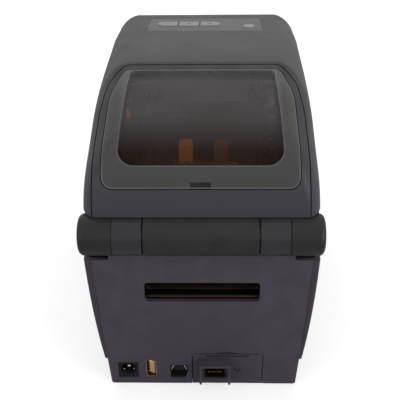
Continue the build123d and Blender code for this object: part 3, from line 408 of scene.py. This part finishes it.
# Brown inner plastic that turns near-black beyond Y 58 to 70 mm: painted shade of the well's far end
# behind the slot.
well_plastic_painted_shade = plastic(
    "Media well plastic, painted shade", srgb(98, 72, 60), srgb(116, 90, 76), roughness=0.5, cloud=0.2, depth=0.05,
    shift=("Y", 58 * MM, 70 * MM, srgb(6, 5, 5)))
ledge_plastic = plastic(
    "Slot ledge plastic", srgb(62, 44, 36), srgb(84, 62, 50), roughness=0.45, cloud=0.2, depth=0.05)
pale_inner_plastic = plastic(
    "Pale inner plastic", srgb(146, 145, 147), srgb(164, 163, 165), roughness=0.5, cloud=0.15)
# Near-black: painted shade of the deep fan-fold slot.
shadow_plastic = plastic(
    "Chute plastic in painted shade", srgb(5, 4, 4), srgb(12, 9, 8), roughness=0.7, cloud=0.2, depth=0.05, wear=0.1,
    dust=0.0, gloss=0.08)
socket_black = plastic(
    "Socket black", srgb(18, 18, 19), srgb(48, 48, 50), roughness=0.36, cloud=0.1, depth=0.03)
bezel_plastic = plastic(
    "Bezel plastic", srgb(44, 42, 45), srgb(66, 64, 66), roughness=0.44, cloud=0.15)
gear_plastic = plastic(
    "Gear plastic", srgb(206, 202, 190), srgb(226, 223, 214), roughness=0.38, cloud=0.1, depth=0.03)
smoked_pane = smoked_clear(
    "Smoked pane", srgb(60, 34, 22), smear=srgb(112, 92, 82), high_colour=srgb(158, 153, 155),
    cover=0.15)
lamp_cover = smoked_clear(
    "Lamp ring cover", srgb(140, 142, 144), smear=srgb(160, 162, 164),
    high_colour=srgb(140, 142, 144), cover=0.7)
bright_amber = amber_plastic("Bright amber plastic", srgb(255, 152, 18), srgb(244, 130, 12))
# Darker copy of the bright amber for the left guide tab: painted shade.
amber_painted_shade = amber_plastic("Amber plastic in painted shade", srgb(158, 84, 26), srgb(136, 68, 18))
foot_rubber = soft_rubber("Foot rubber", srgb(34, 34, 35))
roller_rubber = soft_rubber("Roller rubber", srgb(52, 52, 54))
board_green = circuit_laminate("Circuit board")
plated_steel = metal("Plated steel", srgb(196, 195, 190), roughness=0.24, stretch=(1.0, 1.0, 0.1))
shell_steel = metal("Socket shell steel", srgb(196, 178, 150), roughness=0.34, stretch=(1.0, 0.1, 1.0))
dark_steel = metal("Dark steel", srgb(120, 120, 124), roughness=0.34, stretch=(0.1, 1.0, 1.0))
anodised = metal("Anodised aluminium", srgb(168, 170, 174), roughness=0.38, stretch=(0.08, 1.0, 1.0))
gilded = metal("Gilded contact", srgb(222, 176, 92), roughness=0.22)
copper_contact = metal("Copper-faced contact", srgb(246, 206, 164), roughness=0.4)
ceramic = plastic(
    "Head ceramic", srgb(188, 180, 160), srgb(210, 204, 190), roughness=0.2, cloud=0.1, depth=0.02)


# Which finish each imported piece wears

node_finishes = {
    "base_tray": bezel_plastic, "rubber_feet": foot_rubber, "case_screws": dark_steel,
    "body_housing": skirt_plastic, "front_bezel": bezel_plastic, "tear_bar": plated_steel,
    "rear_panel": wall_plastic, "slot_chute": shadow_plastic, "dc_socket": socket_black,
    "usb_host_socket": shell_steel, "usb_device_socket": socket_black, "main_board": board_green,
    "lan_panel": wall_plastic, "lan_jack": socket_black, "media_well": well_plastic_painted_shade,
    "guide_pinion": gear_plastic, "label_guide_left": inner_plastic, "label_guide_right": inner_plastic,
    "guide_tab_left": amber_painted_shade, "guide_tab_right": bright_amber, "label_stop_bar": bright_amber,
    "print_chassis": inner_plastic, "stepper_motor": dark_steel, "motor_screws": plated_steel,
    "motor_pinion": gear_plastic, "idler_pin": plated_steel, "idler_gear": gear_plastic,
    "platen_gear": gear_plastic, "platen_shaft": plated_steel, "platen_roller": roller_rubber,
    "platen_bearings": gear_plastic, "sensor_rod": plated_steel, "media_sensor": socket_black,
    "latch_bar": inner_plastic, "release_tabs": bright_amber, "latch_springs": plated_steel,
    "latch_strikes": plated_steel, "hinge_shaft": plated_steel, "hinge_knuckle_centre": barrel_plastic,
    "hinge_arms": arm_plastic, "hinge_caps": barrel_plastic, "rear_frame": frame_plastic,
    "top_cover": cover_plastic, "window_panel": border_plastic, "window_pane": smoked_pane,
    "window_clip": clip_plastic, "lid_chassis": pale_inner_plastic, "head_pivot_rod": plated_steel,
    "head_bracket": dark_steel, "head_heat_sink": anodised, "print_head": ceramic,
    "head_springs": plated_steel, "control_panel": control_plastic, "power_light": lamp_cover,
    "switch_board": board_green, "power_button": key_plastic, "pause_button": key_plastic,
    "feed_button": key_plastic, "cancel_button": key_plastic,
}


def wear_finish(piece, finish):
    """Gives a piece one finish on all its faces."""
    if not piece.material_slots:
        piece.data.materials.append(finish)
    for place in piece.material_slots:
        place.material = finish


for node, finish in node_finishes.items():
    wear_finish(frame["nodes"][node], finish)
body_of = {node: piece["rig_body"] for node, piece in frame["nodes"].items()}


# Meshes worked out as whole arrays

def grid_faces(rows, columns, loop_rows=False, loop_columns=False):
    """Quads of a grid of points, closed round either way on request."""
    row = np.arange(rows if loop_rows else rows - 1)[:, None]
    column = np.arange(columns if loop_columns else columns - 1)[None, :]
    next_row, next_column = (row + 1) % rows, (column + 1) % columns
    corners = [row * columns + column, row * columns + next_column,
               next_row * columns + next_column, next_row * columns + column]
    return np.stack(np.broadcast_arrays(*corners), axis=-1).reshape(-1, 4)


def fine_part(name, points, faces, finish, body, smooth=True):
    """New piece from an array of points and an array of quads, riding on a body."""
    mesh = bpy.data.meshes.new(name)
    mesh.from_pydata(np.asarray(points, dtype=float).reshape(-1, 3).tolist(), [], faces.tolist())
    shape = bmesh.new()
    shape.from_mesh(mesh)
    bmesh.ops.remove_doubles(shape, verts=shape.verts, dist=1e-6)
    bmesh.ops.recalc_face_normals(shape, faces=shape.faces)
    shape.to_mesh(mesh)
    shape.free()
    mesh.polygons.foreach_set("use_smooth", np.full(len(mesh.polygons), smooth))
    mesh.materials.append(finish)
    piece = bpy.data.objects.new(name, mesh)
    bpy.context.scene.collection.objects.link(piece)
    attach(piece, body)
    return piece


def many_parts(grids, loops):
    """One list of points and faces from several grids, each rows x columns x 3, numbered on."""
    points, faces, used = [], [], 0
    for grid in grids:
        rows, columns = grid.shape[:2]
        points.append(grid.reshape(-1, 3))
        faces.append(grid_faces(rows, columns, *loops) + used)
        used += rows * columns
    return np.concatenate(points), np.concatenate(faces)


def turned_grid(profile, centre):
    """Profile of (radius, reach) turned about an axis along Y through centre.

    A point is the centre plus the radius times (cosine, 0, sine) of its angle, plus the reach along Y.
    """
    sides = 32
    radius, reach = np.asarray(profile, dtype=float).T
    angle = np.arange(sides) * 2 * np.pi / sides
    grid = np.empty((len(radius), sides, 3))
    grid[..., 0] = radius[:, None] * np.cos(angle)
    grid[..., 1] = reach[:, None]
    grid[..., 2] = radius[:, None] * np.sin(angle)
    return grid + np.asarray(centre)


def wire_grid(path, radius, sides=8):
    """Round wire of one radius along a path, with its ends drawn in to points.

    A point is the path point plus the radius times the cosine and sine of its angle along two
    directions square to the path. The first is also square to a slanted line that no path follows.
    """
    slanted_line = [0.31, 0.12, 0.94]
    along = np.gradient(path, axis=0)
    along /= np.linalg.norm(along, axis=1, keepdims=True)
    side = np.cross(along, slanted_line)
    side /= np.linalg.norm(side, axis=1, keepdims=True)
    up = np.cross(along, side)
    angle = np.arange(sides) * 2 * np.pi / sides
    ring = np.cos(angle)[None, :, None] * side[:, None] + np.sin(angle)[None, :, None] * up[:, None]
    swell = np.ones(len(path))
    swell[[0, -1]] = 0.0
    return path[:, None] + radius * swell[:, None, None] * ring


def soft_block(low, high, power, cuts=12):
    """Block with rounded edges: a superellipsoid shell between two corners.

    With s and t as angles round and up the block, each axis is the sign of the cosine or sine
    times its absolute value to a small power, so that the sides stay flat and the edges round.
    """
    low, high = np.asarray(low, dtype=float), np.asarray(high, dtype=float)
    around = np.linspace(-np.pi, np.pi, 4 * cuts + 1)[:-1] + np.pi / 4
    rise = np.linspace(-np.pi / 2, np.pi / 2, 2 * cuts + 1)

    def shaped(value):
        return np.sign(value) * np.abs(value) ** power

    across = shaped(np.cos(rise))[:, None]
    grid = np.stack([
        across * shaped(np.cos(around))[None], across * shaped(np.sin(around))[None],
        np.broadcast_to(shaped(np.sin(rise))[:, None], (len(rise), len(around)))], axis=-1)
    return (low + high) / 2 + grid * (high - low) / 2


def rounded_loop(corners, step):
    """Closed outline through corners of (half width, place, radius) and their mirror images.

    Each corner is an arc that touches both of its sides. Its centre is on their bisector, as far
    in as the radius over the sine of the half angle. A point on the arc is the centre plus the
    sines of the turn still to go and of the turn gone, each times the line to the arc's start and
    end, over the sine of the whole turn. Points follow arcs and sides at an even step.
    """
    right = np.array(corners, dtype=float)
    left = right[::-1] * [-1, 1, 1]
    nodes = np.concatenate([right, left])
    spots, radii = nodes[:, :2], nodes[:, 2]
    before, after = np.roll(spots, 1, axis=0) - spots, np.roll(spots, -1, axis=0) - spots
    before /= np.linalg.norm(before, axis=1, keepdims=True)
    after /= np.linalg.norm(after, axis=1, keepdims=True)
    half_angle = np.arccos(np.clip((before * after).sum(axis=1), -1, 1)) / 2
    middle = before + after
    middle /= np.linalg.norm(middle, axis=1, keepdims=True)
    centres = spots + middle * (radii / np.sin(half_angle))[:, None]
    reach = (radii / np.tan(half_angle))[:, None]
    start, end = spots + before * reach - centres, spots + after * reach - centres
    share = np.linspace(0, 1, 13)[None, :, None]
    turn = (np.pi - 2 * half_angle)[:, None, None]
    leaving, coming = np.sin((1 - share) * turn), np.sin(share * turn)
    arcs = (leaving * start[:, None] + coming * end[:, None]) / np.sin(turn)
    rough = (centres[:, None] + arcs).reshape(-1, 2)
    rough = np.concatenate([rough, rough[:1]])
    length = np.concatenate([[0], np.cumsum(np.linalg.norm(np.diff(rough, axis=0), axis=1))])
    even = np.linspace(0, length[-1], int(length[-1] / step) + 1)[:-1]
    return np.stack([np.interp(even, length, rough[:, axis]) for axis in (0, 1)], axis=1)


def skin_of(*nodes):
    """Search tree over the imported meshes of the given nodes, which are all triangles."""
    corners, faces, used = [], [], 0
    for node in nodes:
        mesh = frame["nodes"][node].data
        spots = np.empty((len(mesh.vertices), 3), dtype=np.float32)
        mesh.vertices.foreach_get("co", spots.ravel())
        ends = np.empty((len(mesh.polygons), 3), dtype=np.int32)
        mesh.loops.foreach_get("vertex_index", ends.ravel())
        corners.append(spots)
        faces.append(ends + used)
        used += len(spots)
    return BVHTree.FromPolygons(np.concatenate(corners).tolist(), np.concatenate(faces).tolist())


def dropped(skin, starts, direction):
    """Points where rays from the starts along one direction meet a skin.

    Each point takes the middle depth of three rays a hundredth of a millimetre apart, since a ray
    can slip between two faces, and where all three do, the depth between those of the points
    beside it. A point over a millimetre off the middle depth of the seven points round it has
    fallen into a seam, and takes that depth instead.
    """
    nudges = np.array([[0, 0, 0], [7, 3, 5], [-5, -7, -3]]) * 0.002 * MM
    ahead = Vector(direction)
    reach = np.array([
        [skin.ray_cast(Vector(start), ahead)[3] for start in starts + nudge]
        for nudge in nudges], dtype=float)
    met = ~np.isnan(reach).all(axis=0)
    depth = np.interp(np.arange(len(met)), np.flatnonzero(met), np.nanmedian(reach[:, met], axis=0))
    middle = np.median([np.roll(depth, step) for step in range(-3, 4)], axis=0)
    depth = np.where(np.abs(depth - middle) > MM, middle, depth)
    return starts + direction * depth[:, None]


def laid_bead(name, path, direction, half_width, lift, skin, finish, body, closed=False):
    """Low rounded bead along a path that is dropped on a skin.

    Across the path the bead follows five stations from -1 to 1. Its height is the lift times the
    square root of one minus the square of the station. Each station is dropped on the skin on its
    own, so the bead hugs a curved face, and its underside lies just under the skin.
    """
    sunk, clear_of_skin, deepest_step = 0.15 * MM, 0.01 * MM, 0.6 * MM
    path, direction = np.asarray(path, dtype=float), np.asarray(direction, dtype=float)
    direction = direction / np.linalg.norm(direction)
    if closed:
        along = np.roll(path, -1, axis=0) - np.roll(path, 1, axis=0)
    else:
        along = np.gradient(path, axis=0)
    side = np.cross(along, direction)
    side /= np.linalg.norm(side, axis=1, keepdims=True)
    stations = np.array([-1.0, -0.6, 0.0, 0.6, 1.0])
    heights = lift * np.sqrt(1 - stations ** 2) + clear_of_skin
    rows = np.stack([
        dropped(skin, path + side * half_width * share, direction) for share in stations])
    depth = rows @ direction
    shallow = depth.min(axis=0)
    rows += np.where(depth > shallow + deepest_step, shallow - depth, 0)[..., None] * direction
    rows = list(rows - heights[:, None, None] * direction)
    rows += [rows[-1] + direction * sunk, rows[0] + direction * sunk]
    grid = np.stack(rows)
    if not closed:
        grid[:, [0, -1]] = grid[:, [0, -1]].mean(axis=0)
    faces = grid_faces(*grid.shape[:2], loop_rows=True, loop_columns=closed)
    fine_part(name, grid, faces, finish, body)


def stroke(start, end, steps=9):
    """Straight row of points between two places."""
    share = np.linspace(0, 1, steps)[:, None]
    return np.asarray(start) * (1 - share) + np.asarray(end) * share


# Trim lines round the window, lighter as painted highlights

# The window's own plane slants by 45 degrees. Corners and steps in it are in millimetres, and a
# corner is the half width, the way down the slope and the radius. Rays start outside by skin_reach.
skin_reach = 50 * MM
rear_wall_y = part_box("rear_panel")[1][1]
window_setback = 22 * MM
window_height = 142 * MM
window_origin = np.array([0.0, rear_wall_y - window_setback, window_height])
window_down = np.array([0.0, 1.0, -1.0]) / np.sqrt(2)
window_out = np.array([0.0, 1.0, 1.0]) / np.sqrt(2)
insert_corners = ((37.8, -34.1, 4.0), (43.6, -16.5, 30.0), (44.3, 31.7, 4.5))
clear_corners = ((34.9, -33.0, 2.5), (37.1, 22.0, 7.0))
point_step = 0.8


def over_window(corners, inwards):
    """Outline round the window, moved inwards, as starts of rays above the lid.

    Each point moves square to the line between its two neighbours, towards the middle.
    """
    loop = rounded_loop(corners, point_step)
    along = np.roll(loop, -1, axis=0) - np.roll(loop, 1, axis=0)
    across = np.stack([-along[:, 1], along[:, 0]], axis=1)
    across /= np.linalg.norm(along, axis=1, keepdims=True)
    middle = loop.mean(axis=0)
    across *= np.sign(((middle - loop) * across).sum(axis=1, keepdims=True))
    loop = (loop + across * inwards) * MM
    in_plane = window_origin + loop[:, :1] * [1, 0, 0] + loop[:, 1:] * window_down
    return in_plane + window_out * skin_reach


def window_trim():
    """Low glossy beads just inside the insert's edge and along the edge of the clear area, lighter as a
    painted highlight.
    """
    skin = skin_of("rear_frame", "window_panel", "window_pane", "window_clip")
    laid_bead("insert_rim_highlight", over_window(insert_corners, 0.35), -window_out, 0.22 * MM, 0.12 * MM,
              skin, rim_highlight_paint, "lid", closed=True)
    laid_bead("clear_area_edge_highlight", over_window(clear_corners, -0.4), -window_out, 0.16 * MM,
              0.08 * MM, skin, rim_highlight_paint, "lid", closed=True)


# Springs over the print head

def head_spring_coils():
    """Two coil springs between the head's bracket and the lid's plate.

    Along a coil, x and y go round its axis by cosine and sine while z climbs evenly, and a little
    over half a turn at each end lies flat.
    """
    low, high = np.array(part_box("head_springs"))
    wire = 0.45 * MM
    coil = (high[1] - low[1]) / 2 - wire
    middle_y = (low[1] + high[1]) / 2
    turns, flat_turns, left_at_limit = 6, 0.6, 0.78
    turn = np.linspace(0, 2 * np.pi * turns, 24 * turns + 1)
    climb = np.clip((turn / (2 * np.pi) - flat_turns) / (turns - 2 * flat_turns), 0, 1)
    height = low[2] + wire + climb * (high[2] - low[2] - 2 * wire)
    grids = []
    for centre in (low[0] + coil + wire, high[0] - coil - wire):
        path = np.stack([centre + coil * np.cos(turn), middle_y + coil * np.sin(turn), height], axis=1)
        grids.append(wire_grid(path, wire))
    points, faces = many_parts(grids, (False, True))
    springs = fine_part("head_spring_coils", points, faces, plated_steel, body_of["head_springs"])
    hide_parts("head_springs")
    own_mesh(springs)


# Marks on the keys

def key_marks():
    """Moulded signs: two bars, an arrow away from a line, a cross, and a broken ring with a bar.

    Each is a row of straight strokes on its key. The ring goes by cosine and sine round its middle.
    """
    above = 160 * MM
    size = 1.25 * MM
    half_width, lift = 0.24 * MM, 0.08 * MM

    def place(node):
        low, high = np.array(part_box(node))
        return (low + high) / 2 * [1, 1, 0] + [0, 0, above]

    def bars(node, ends, finish):
        skin, middle = skin_of(node), place(node)
        for count, (start, end) in enumerate(ends, 1):
            path = stroke(middle + np.array([*start, 0]) * size, middle + np.array([*end, 0]) * size)
            laid_bead(f"{node}_mark_{count}", path, (0, 0, -1), half_width, lift, skin, finish,
                      body_of[node])

    bars("pause_button", (((-0.55, -1), (-0.55, 1)), ((0.55, -1), (0.55, 1))), mark_grey)
    bars("feed_button", (((-1.5, 1), (1.5, 1)), ((0, 0.6), (0, -1.4)), ((-0.9, -0.4), (0, -1.4)),
                         ((0.9, -0.4), (0, -1.4))), mark_grey)
    bars("cancel_button", (((-0.9, -0.9), (0.9, 0.9)), ((-0.9, 0.9), (0.9, -0.9))), mark_grey)
    bars("power_button", (((0, -0.2), (0, -1.5)),), mark_white)
    turn = np.linspace(np.radians(-60), np.radians(240), 33)
    ring = np.stack([np.cos(turn), np.sin(turn), np.zeros(33)], axis=1) * 1.2 * size
    laid_bead("power_button_ring", place("power_button") + ring, (0, 0, -1), half_width, lift,
              skin_of("power_button"), mark_white, body_of["power_button"])


# Rear wall

def module_lines():
    """Thin shadow line round the module's plate, and a moulded arrow head beside its guard.

    Both are made of straight dark beads, coloured as painted shade, the arrow head of two that meet at
    its tip.
    """
    low, high = np.array(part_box("lan_panel"))
    skin = skin_of("lan_panel", "rear_panel")
    start_y = rear_wall_y + skin_reach
    inset = 0.2 * MM
    left, right, foot, top = low[0] + inset, high[0] - inset, low[2] + inset, high[2] - inset
    corners = ((left, foot), (left, top), (right, top), (right, foot))
    for count, (start, end) in enumerate(zip(corners[:-1], corners[1:]), 1):
        path = stroke((start[0], start_y, start[1]), (end[0], start_y, end[1]), steps=25)
        laid_bead(f"module_seam_{count}", path, (0, -1, 0), 0.16 * MM, 0.02 * MM, skin, seam_shade_paint,
                  "base")
    tip = np.array([-17.8 * MM, start_y, 8.5 * MM])
    arm_width, arm_rise = 1.6 * MM, 2.6 * MM
    for count, sign in enumerate((-1, 1), 1):
        path = stroke(tip, tip + [sign * arm_width, 0, arm_rise])
        laid_bead(f"module_arrow_{count}", path, (0, -1, 0), 0.25 * MM, 0.12 * MM, skin, seam_shade_paint,
                  "base")


def bay_corner_pads():
    """Two flush pads beside the module's foot, where the round finger notch runs past its plate.

    Across a pad, x goes from the plate's edge to the notch's circle at that height.
    """
    low, high = np.array(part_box("lan_panel"))
    notch_radius, notch_rise, joint_gap = 22 * MM, 1.1 * MM, 0.15 * MM
    middle = (low[0] + high[0]) / 2
    notch_z = high[2] + notch_rise - notch_radius
    half = (high[0] - low[0]) / 2 + joint_gap
    pad_top = notch_z + np.sqrt(notch_radius ** 2 - half ** 2) - 0.05 * MM
    height = np.linspace(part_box("rear_panel")[0][2], pad_top, 25)
    reach = np.sqrt(notch_radius ** 2 - (height - notch_z) ** 2)
    front, back = rear_wall_y - 0.01 * MM, rear_wall_y - 0.75 * MM
    grids = []
    for side in (1, -1):
        ring = [(half, back), (half, front), (reach, front), (reach, back)][::side]
        grids.append(np.stack([
            np.stack([middle + side * across + 0 * height, 0 * height + depth, height], axis=1)
            for across, depth in ring]))
    points, faces = many_parts(grids, (True, False))
    fine_part("bay_corner_pads", points, faces, wall_plastic, "base", smooth=False)


def power_contacts():
    """Bright pin with a domed tip inside the power inlet, and the two sprung leaves beside it.

    The dome is a quarter of an ellipse turned about the pin's axis. A leaf runs straight in while
    it bows up and towards the pin by half a sine wave.
    """
    low, high = np.array(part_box("dc_socket"))
    centre = ((low[0] + high[0]) / 2, high[1], (low[2] + high[2]) / 2 + 0.2 * MM)
    radius, root, shoulder, dome = 1.12 * MM, -9.0 * MM, -2.6 * MM, 0.9 * MM
    turn = np.linspace(0, np.pi / 2, 7)[1:]
    profile = [(0.0, root), (radius, root), (radius, shoulder)]
    profile += list(zip(radius * np.cos(turn), shoulder + dome * np.sin(turn)))
    points, faces = many_parts([turned_grid(profile, centre)], (False, True))
    fine_part("power_pin", points, faces, plated_steel, "base")
    reach = np.linspace(0, 1, 17)
    grids = []
    for side in (-1, 1):
        bow = np.sin(reach * np.pi)
        path = np.stack([
            centre[0] + side * (2.9 - 0.7 * bow) * MM, centre[1] - (1.6 + 6.5 * reach) * MM,
            centre[2] - (1.9 - 0.3 * bow) * MM], axis=1)
        grids.append(wire_grid(path, 0.42 * MM))
    points, faces = many_parts(grids, (False, True))
    fine_part("power_spring_leaves", points, faces, plated_steel, "base")


def host_tongue():
    """Copper-faced tongue that fills most of the upright socket, with four raised contacts."""
    low, high = np.array(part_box("usb_host_socket"))
    middle = (low + high) / 2
    front = high[1]
    core = soft_block((middle[0] - 1.9 * MM, front - 10 * MM, middle[2] - 4.2 * MM),
                      (middle[0] + 1.1 * MM, front - 0.6 * MM, middle[2] + 5.0 * MM), power=0.28)
    points, faces = many_parts([core], (False, True))
    fine_part("host_socket_tongue", points, faces, copper_contact, "base")
    grids = []
    x, pitch = middle[0] + 1.15 * MM, 2.2 * MM
    for step in (-1.5, -0.5, 0.5, 1.5):
        z = middle[2] + step * pitch + 0.4 * MM
        path = stroke((x, front - 9 * MM, z), (x, front - 0.8 * MM, z), steps=12)
        grids.append(wire_grid(path, 0.45 * MM))
    points, faces = many_parts(grids, (False, True))
    fine_part("host_socket_contacts", points, faces, gilded, "base")


def device_corner_springs():
    """Folded shell tabs that glint in the two slanted corners of the square socket.

    A tab follows the quadratic curve from its start to its end that leans towards its bend.
    """
    low, high = np.array(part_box("usb_device_socket"))
    middle = (low + high) / 2
    front = high[1] - 0.1 * MM
    reach = np.linspace(0, 1, 13)[:, None]
    grids = []
    for side in (-1, 1):
        start = np.array([middle[0] + side * 3.75 * MM, front, high[2] - 3.6 * MM])
        bend = np.array([middle[0] + side * 3.65 * MM, front, high[2] - 1.4 * MM])
        end = np.array([middle[0] + side * 2.5 * MM, front, high[2] - 0.7 * MM])
        path = start * (1 - reach) ** 2 + bend * 2 * reach * (1 - reach) + end * reach ** 2
        grids.append(wire_grid(path, 0.42 * MM))
    points, faces = many_parts(grids, (False, True))
    fine_part("device_socket_springs", points, faces, plated_steel, "base")


def jack_contacts():
    """Eight gold wires in the network socket, that rise towards its back by a power of the depth."""
    low, high = np.array(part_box("lan_jack"))
    middle = (low[0] + high[0]) / 2
    pitch = 1.02 * MM
    reach = np.linspace(0, 1, 15)
    grids = []
    for step in np.arange(8) - 3.5:
        path = np.stack([
            middle + step * pitch + 0 * reach, high[1] - (1.6 + 8.0 * reach) * MM,
            low[2] + (1.2 + 2.6 * reach ** 0.6) * MM], axis=1)
        grids.append(wire_grid(path, 0.26 * MM))
    points, faces = many_parts(grids, (False, True))
    fine_part("jack_contacts", points, faces, gilded, "base")


def slot_ledge():
    """Rounded lip inside the foot of the fan-fold slot, that folded labels ride over."""
    low, high = np.array(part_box("slot_chute"))
    lip = soft_block((low[0] + 1.6 * MM, high[1] - 1.5 * MM, low[2] + 2.4 * MM),
                     (high[0] - 1.6 * MM, high[1] + 0.3 * MM, low[2] + 2.8 * MM), power=0.35)
    points, faces = many_parts([lip], (False, True))
    fine_part("slot_ledge", points, faces, ledge_plastic, "base")


def head_line():
    """Glass-covered heating line across the print head's lower face."""
    low, high = np.array(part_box("print_head"))
    line_y, start_z = low[1] + 5.2 * MM, low[2] - 10 * MM
    path = stroke(
        (low[0] + 2 * MM, line_y, start_z), (high[0] - 2 * MM, line_y, start_z), steps=41)
    laid_bead("head_heating_line", path, (0, 0, 1), 0.7 * MM, 0.06 * MM, skin_of("print_head"),
              socket_black, body_of["print_head"])


window_trim()
head_spring_coils()
key_marks()
module_lines()
bay_corner_pads()
power_contacts()
host_tongue()
device_corner_springs()
jack_contacts()
slot_ledge()
head_line()


# Floor, light and camera

def pale_floor():
    """Flat floor under the part, white to the camera away from the shadow."""
    finish, tree, shader = new_finish("Pale floor")
    path = tree.nodes.new("ShaderNodeLightPath")
    seen = path.outputs["Is Camera Ray"]
    paper, white = (0.72, 0.72, 0.72, 1), (1.0, 1.0, 1.0, 1)
    tree.links.new(blended(tree, seen, paper, white), shader.inputs["Base Color"])
    shader.inputs["Roughness"].default_value = 0.9
    shader.inputs["Specular IOR Level"].default_value = 0.1
    shader.inputs["Emission Color"].default_value = white
    glow = 0.55
    tree.links.new(arithmetic(tree, "MULTIPLY", seen, glow), shader.inputs["Emission Strength"])
    half_side = 4.0
    across = np.array([[-1, -1, 0], [1, -1, 0], [1, 1, 0], [-1, 1, 0]]) * half_side
    mesh = bpy.data.meshes.new("floor")
    mesh.from_pydata(across.tolist(), [], [(0, 1, 2, 3)])
    mesh.materials.append(finish)
    floor = bpy.data.objects.new("floor", mesh)
    bpy.context.scene.collection.objects.link(floor)


def soft_lamp(name, place, target, size, power):
    """Square area lamp at place, turned towards target."""
    lamp = bpy.data.lights.new(name, "AREA")
    lamp.size = size
    lamp.energy = power
    holder = bpy.data.objects.new(name, lamp)
    holder.location = place
    holder.rotation_mode = "QUATERNION"
    holder.rotation_quaternion = (Vector(target) - Vector(place)).to_track_quat("-Z", "Y")
    bpy.context.scene.collection.objects.link(holder)


def studio_world(ambient, seen):
    """Even ambient light, seen by the camera, in gloss and through glass as a pale backdrop."""
    world = bpy.data.worlds.new("Studio")
    bpy.context.scene.world = world
    world.use_nodes = True
    tree = world.node_tree
    backdrop = tree.nodes["Background"]
    path = tree.nodes.new("ShaderNodeLightPath")
    direct = arithmetic(
        tree, "MAXIMUM", path.outputs["Is Camera Ray"], path.outputs["Is Transmission Ray"])
    mirrored = arithmetic(tree, "MULTIPLY", path.outputs["Is Glossy Ray"], 0.4)
    share = arithmetic(tree, "MAXIMUM", direct, mirrored)
    strength = tree.nodes.new("ShaderNodeMapRange")
    strength.inputs["To Min"].default_value = ambient
    strength.inputs["To Max"].default_value = seen
    tree.links.new(share, strength.inputs["Value"])
    tree.links.new(strength.outputs["Result"], backdrop.inputs["Strength"])
    backdrop.inputs["Color"].default_value = (1.0, 1.0, 1.0, 1)


def photo_camera(place, yaw, pitch, roll, focal_pixels):
    """Camera behind the part, looking along -Y, then turned, lowered and tilted by degrees."""
    photo_width = 400
    across, down = radians(yaw), radians(pitch)
    ahead = Vector((sin(across) * cos(down), -cos(across) * cos(down), -sin(down)))
    right = ahead.cross(Vector((0, 0, 1))).normalized()
    up = right.cross(ahead)
    tilt = radians(roll)
    tilted_right = right * cos(tilt) + up * sin(tilt)
    tilted_up = up * cos(tilt) - right * sin(tilt)
    lens = bpy.data.cameras.new("Photo camera")
    lens.sensor_width = 36.0
    lens.lens = focal_pixels / photo_width * lens.sensor_width
    holder = bpy.data.objects.new("Photo camera", lens)
    turned = Matrix((tilted_right, tilted_up, -ahead)).transposed()
    holder.matrix_world = Matrix.Translation(place) @ turned.to_4x4()
    bpy.context.scene.collection.objects.link(holder)
    bpy.context.scene.camera = holder


pale_floor()
soft_lamp("Overhead box", (0.1, -0.75, 1.1), target=(0, 0, 0.1), size=1.0, power=2.2)
soft_lamp("Rear box", (-1.5, 1.0, 0.35), target=(0, 0.05, 0.08), size=1.2, power=13.0)
soft_lamp("Rear fill", (1.3, 1.2, 0.45), target=(0, 0.05, 0.08), size=1.2, power=4.6)
studio_world(ambient=0.45, seen=1.0)
photo_camera(
    (-0.00784, 0.3902, 0.29184), yaw=1.62, pitch=31.707, roll=-0.864, focal_pixels=760.0)
bpy.context.scene.view_settings.view_transform = "Standard"
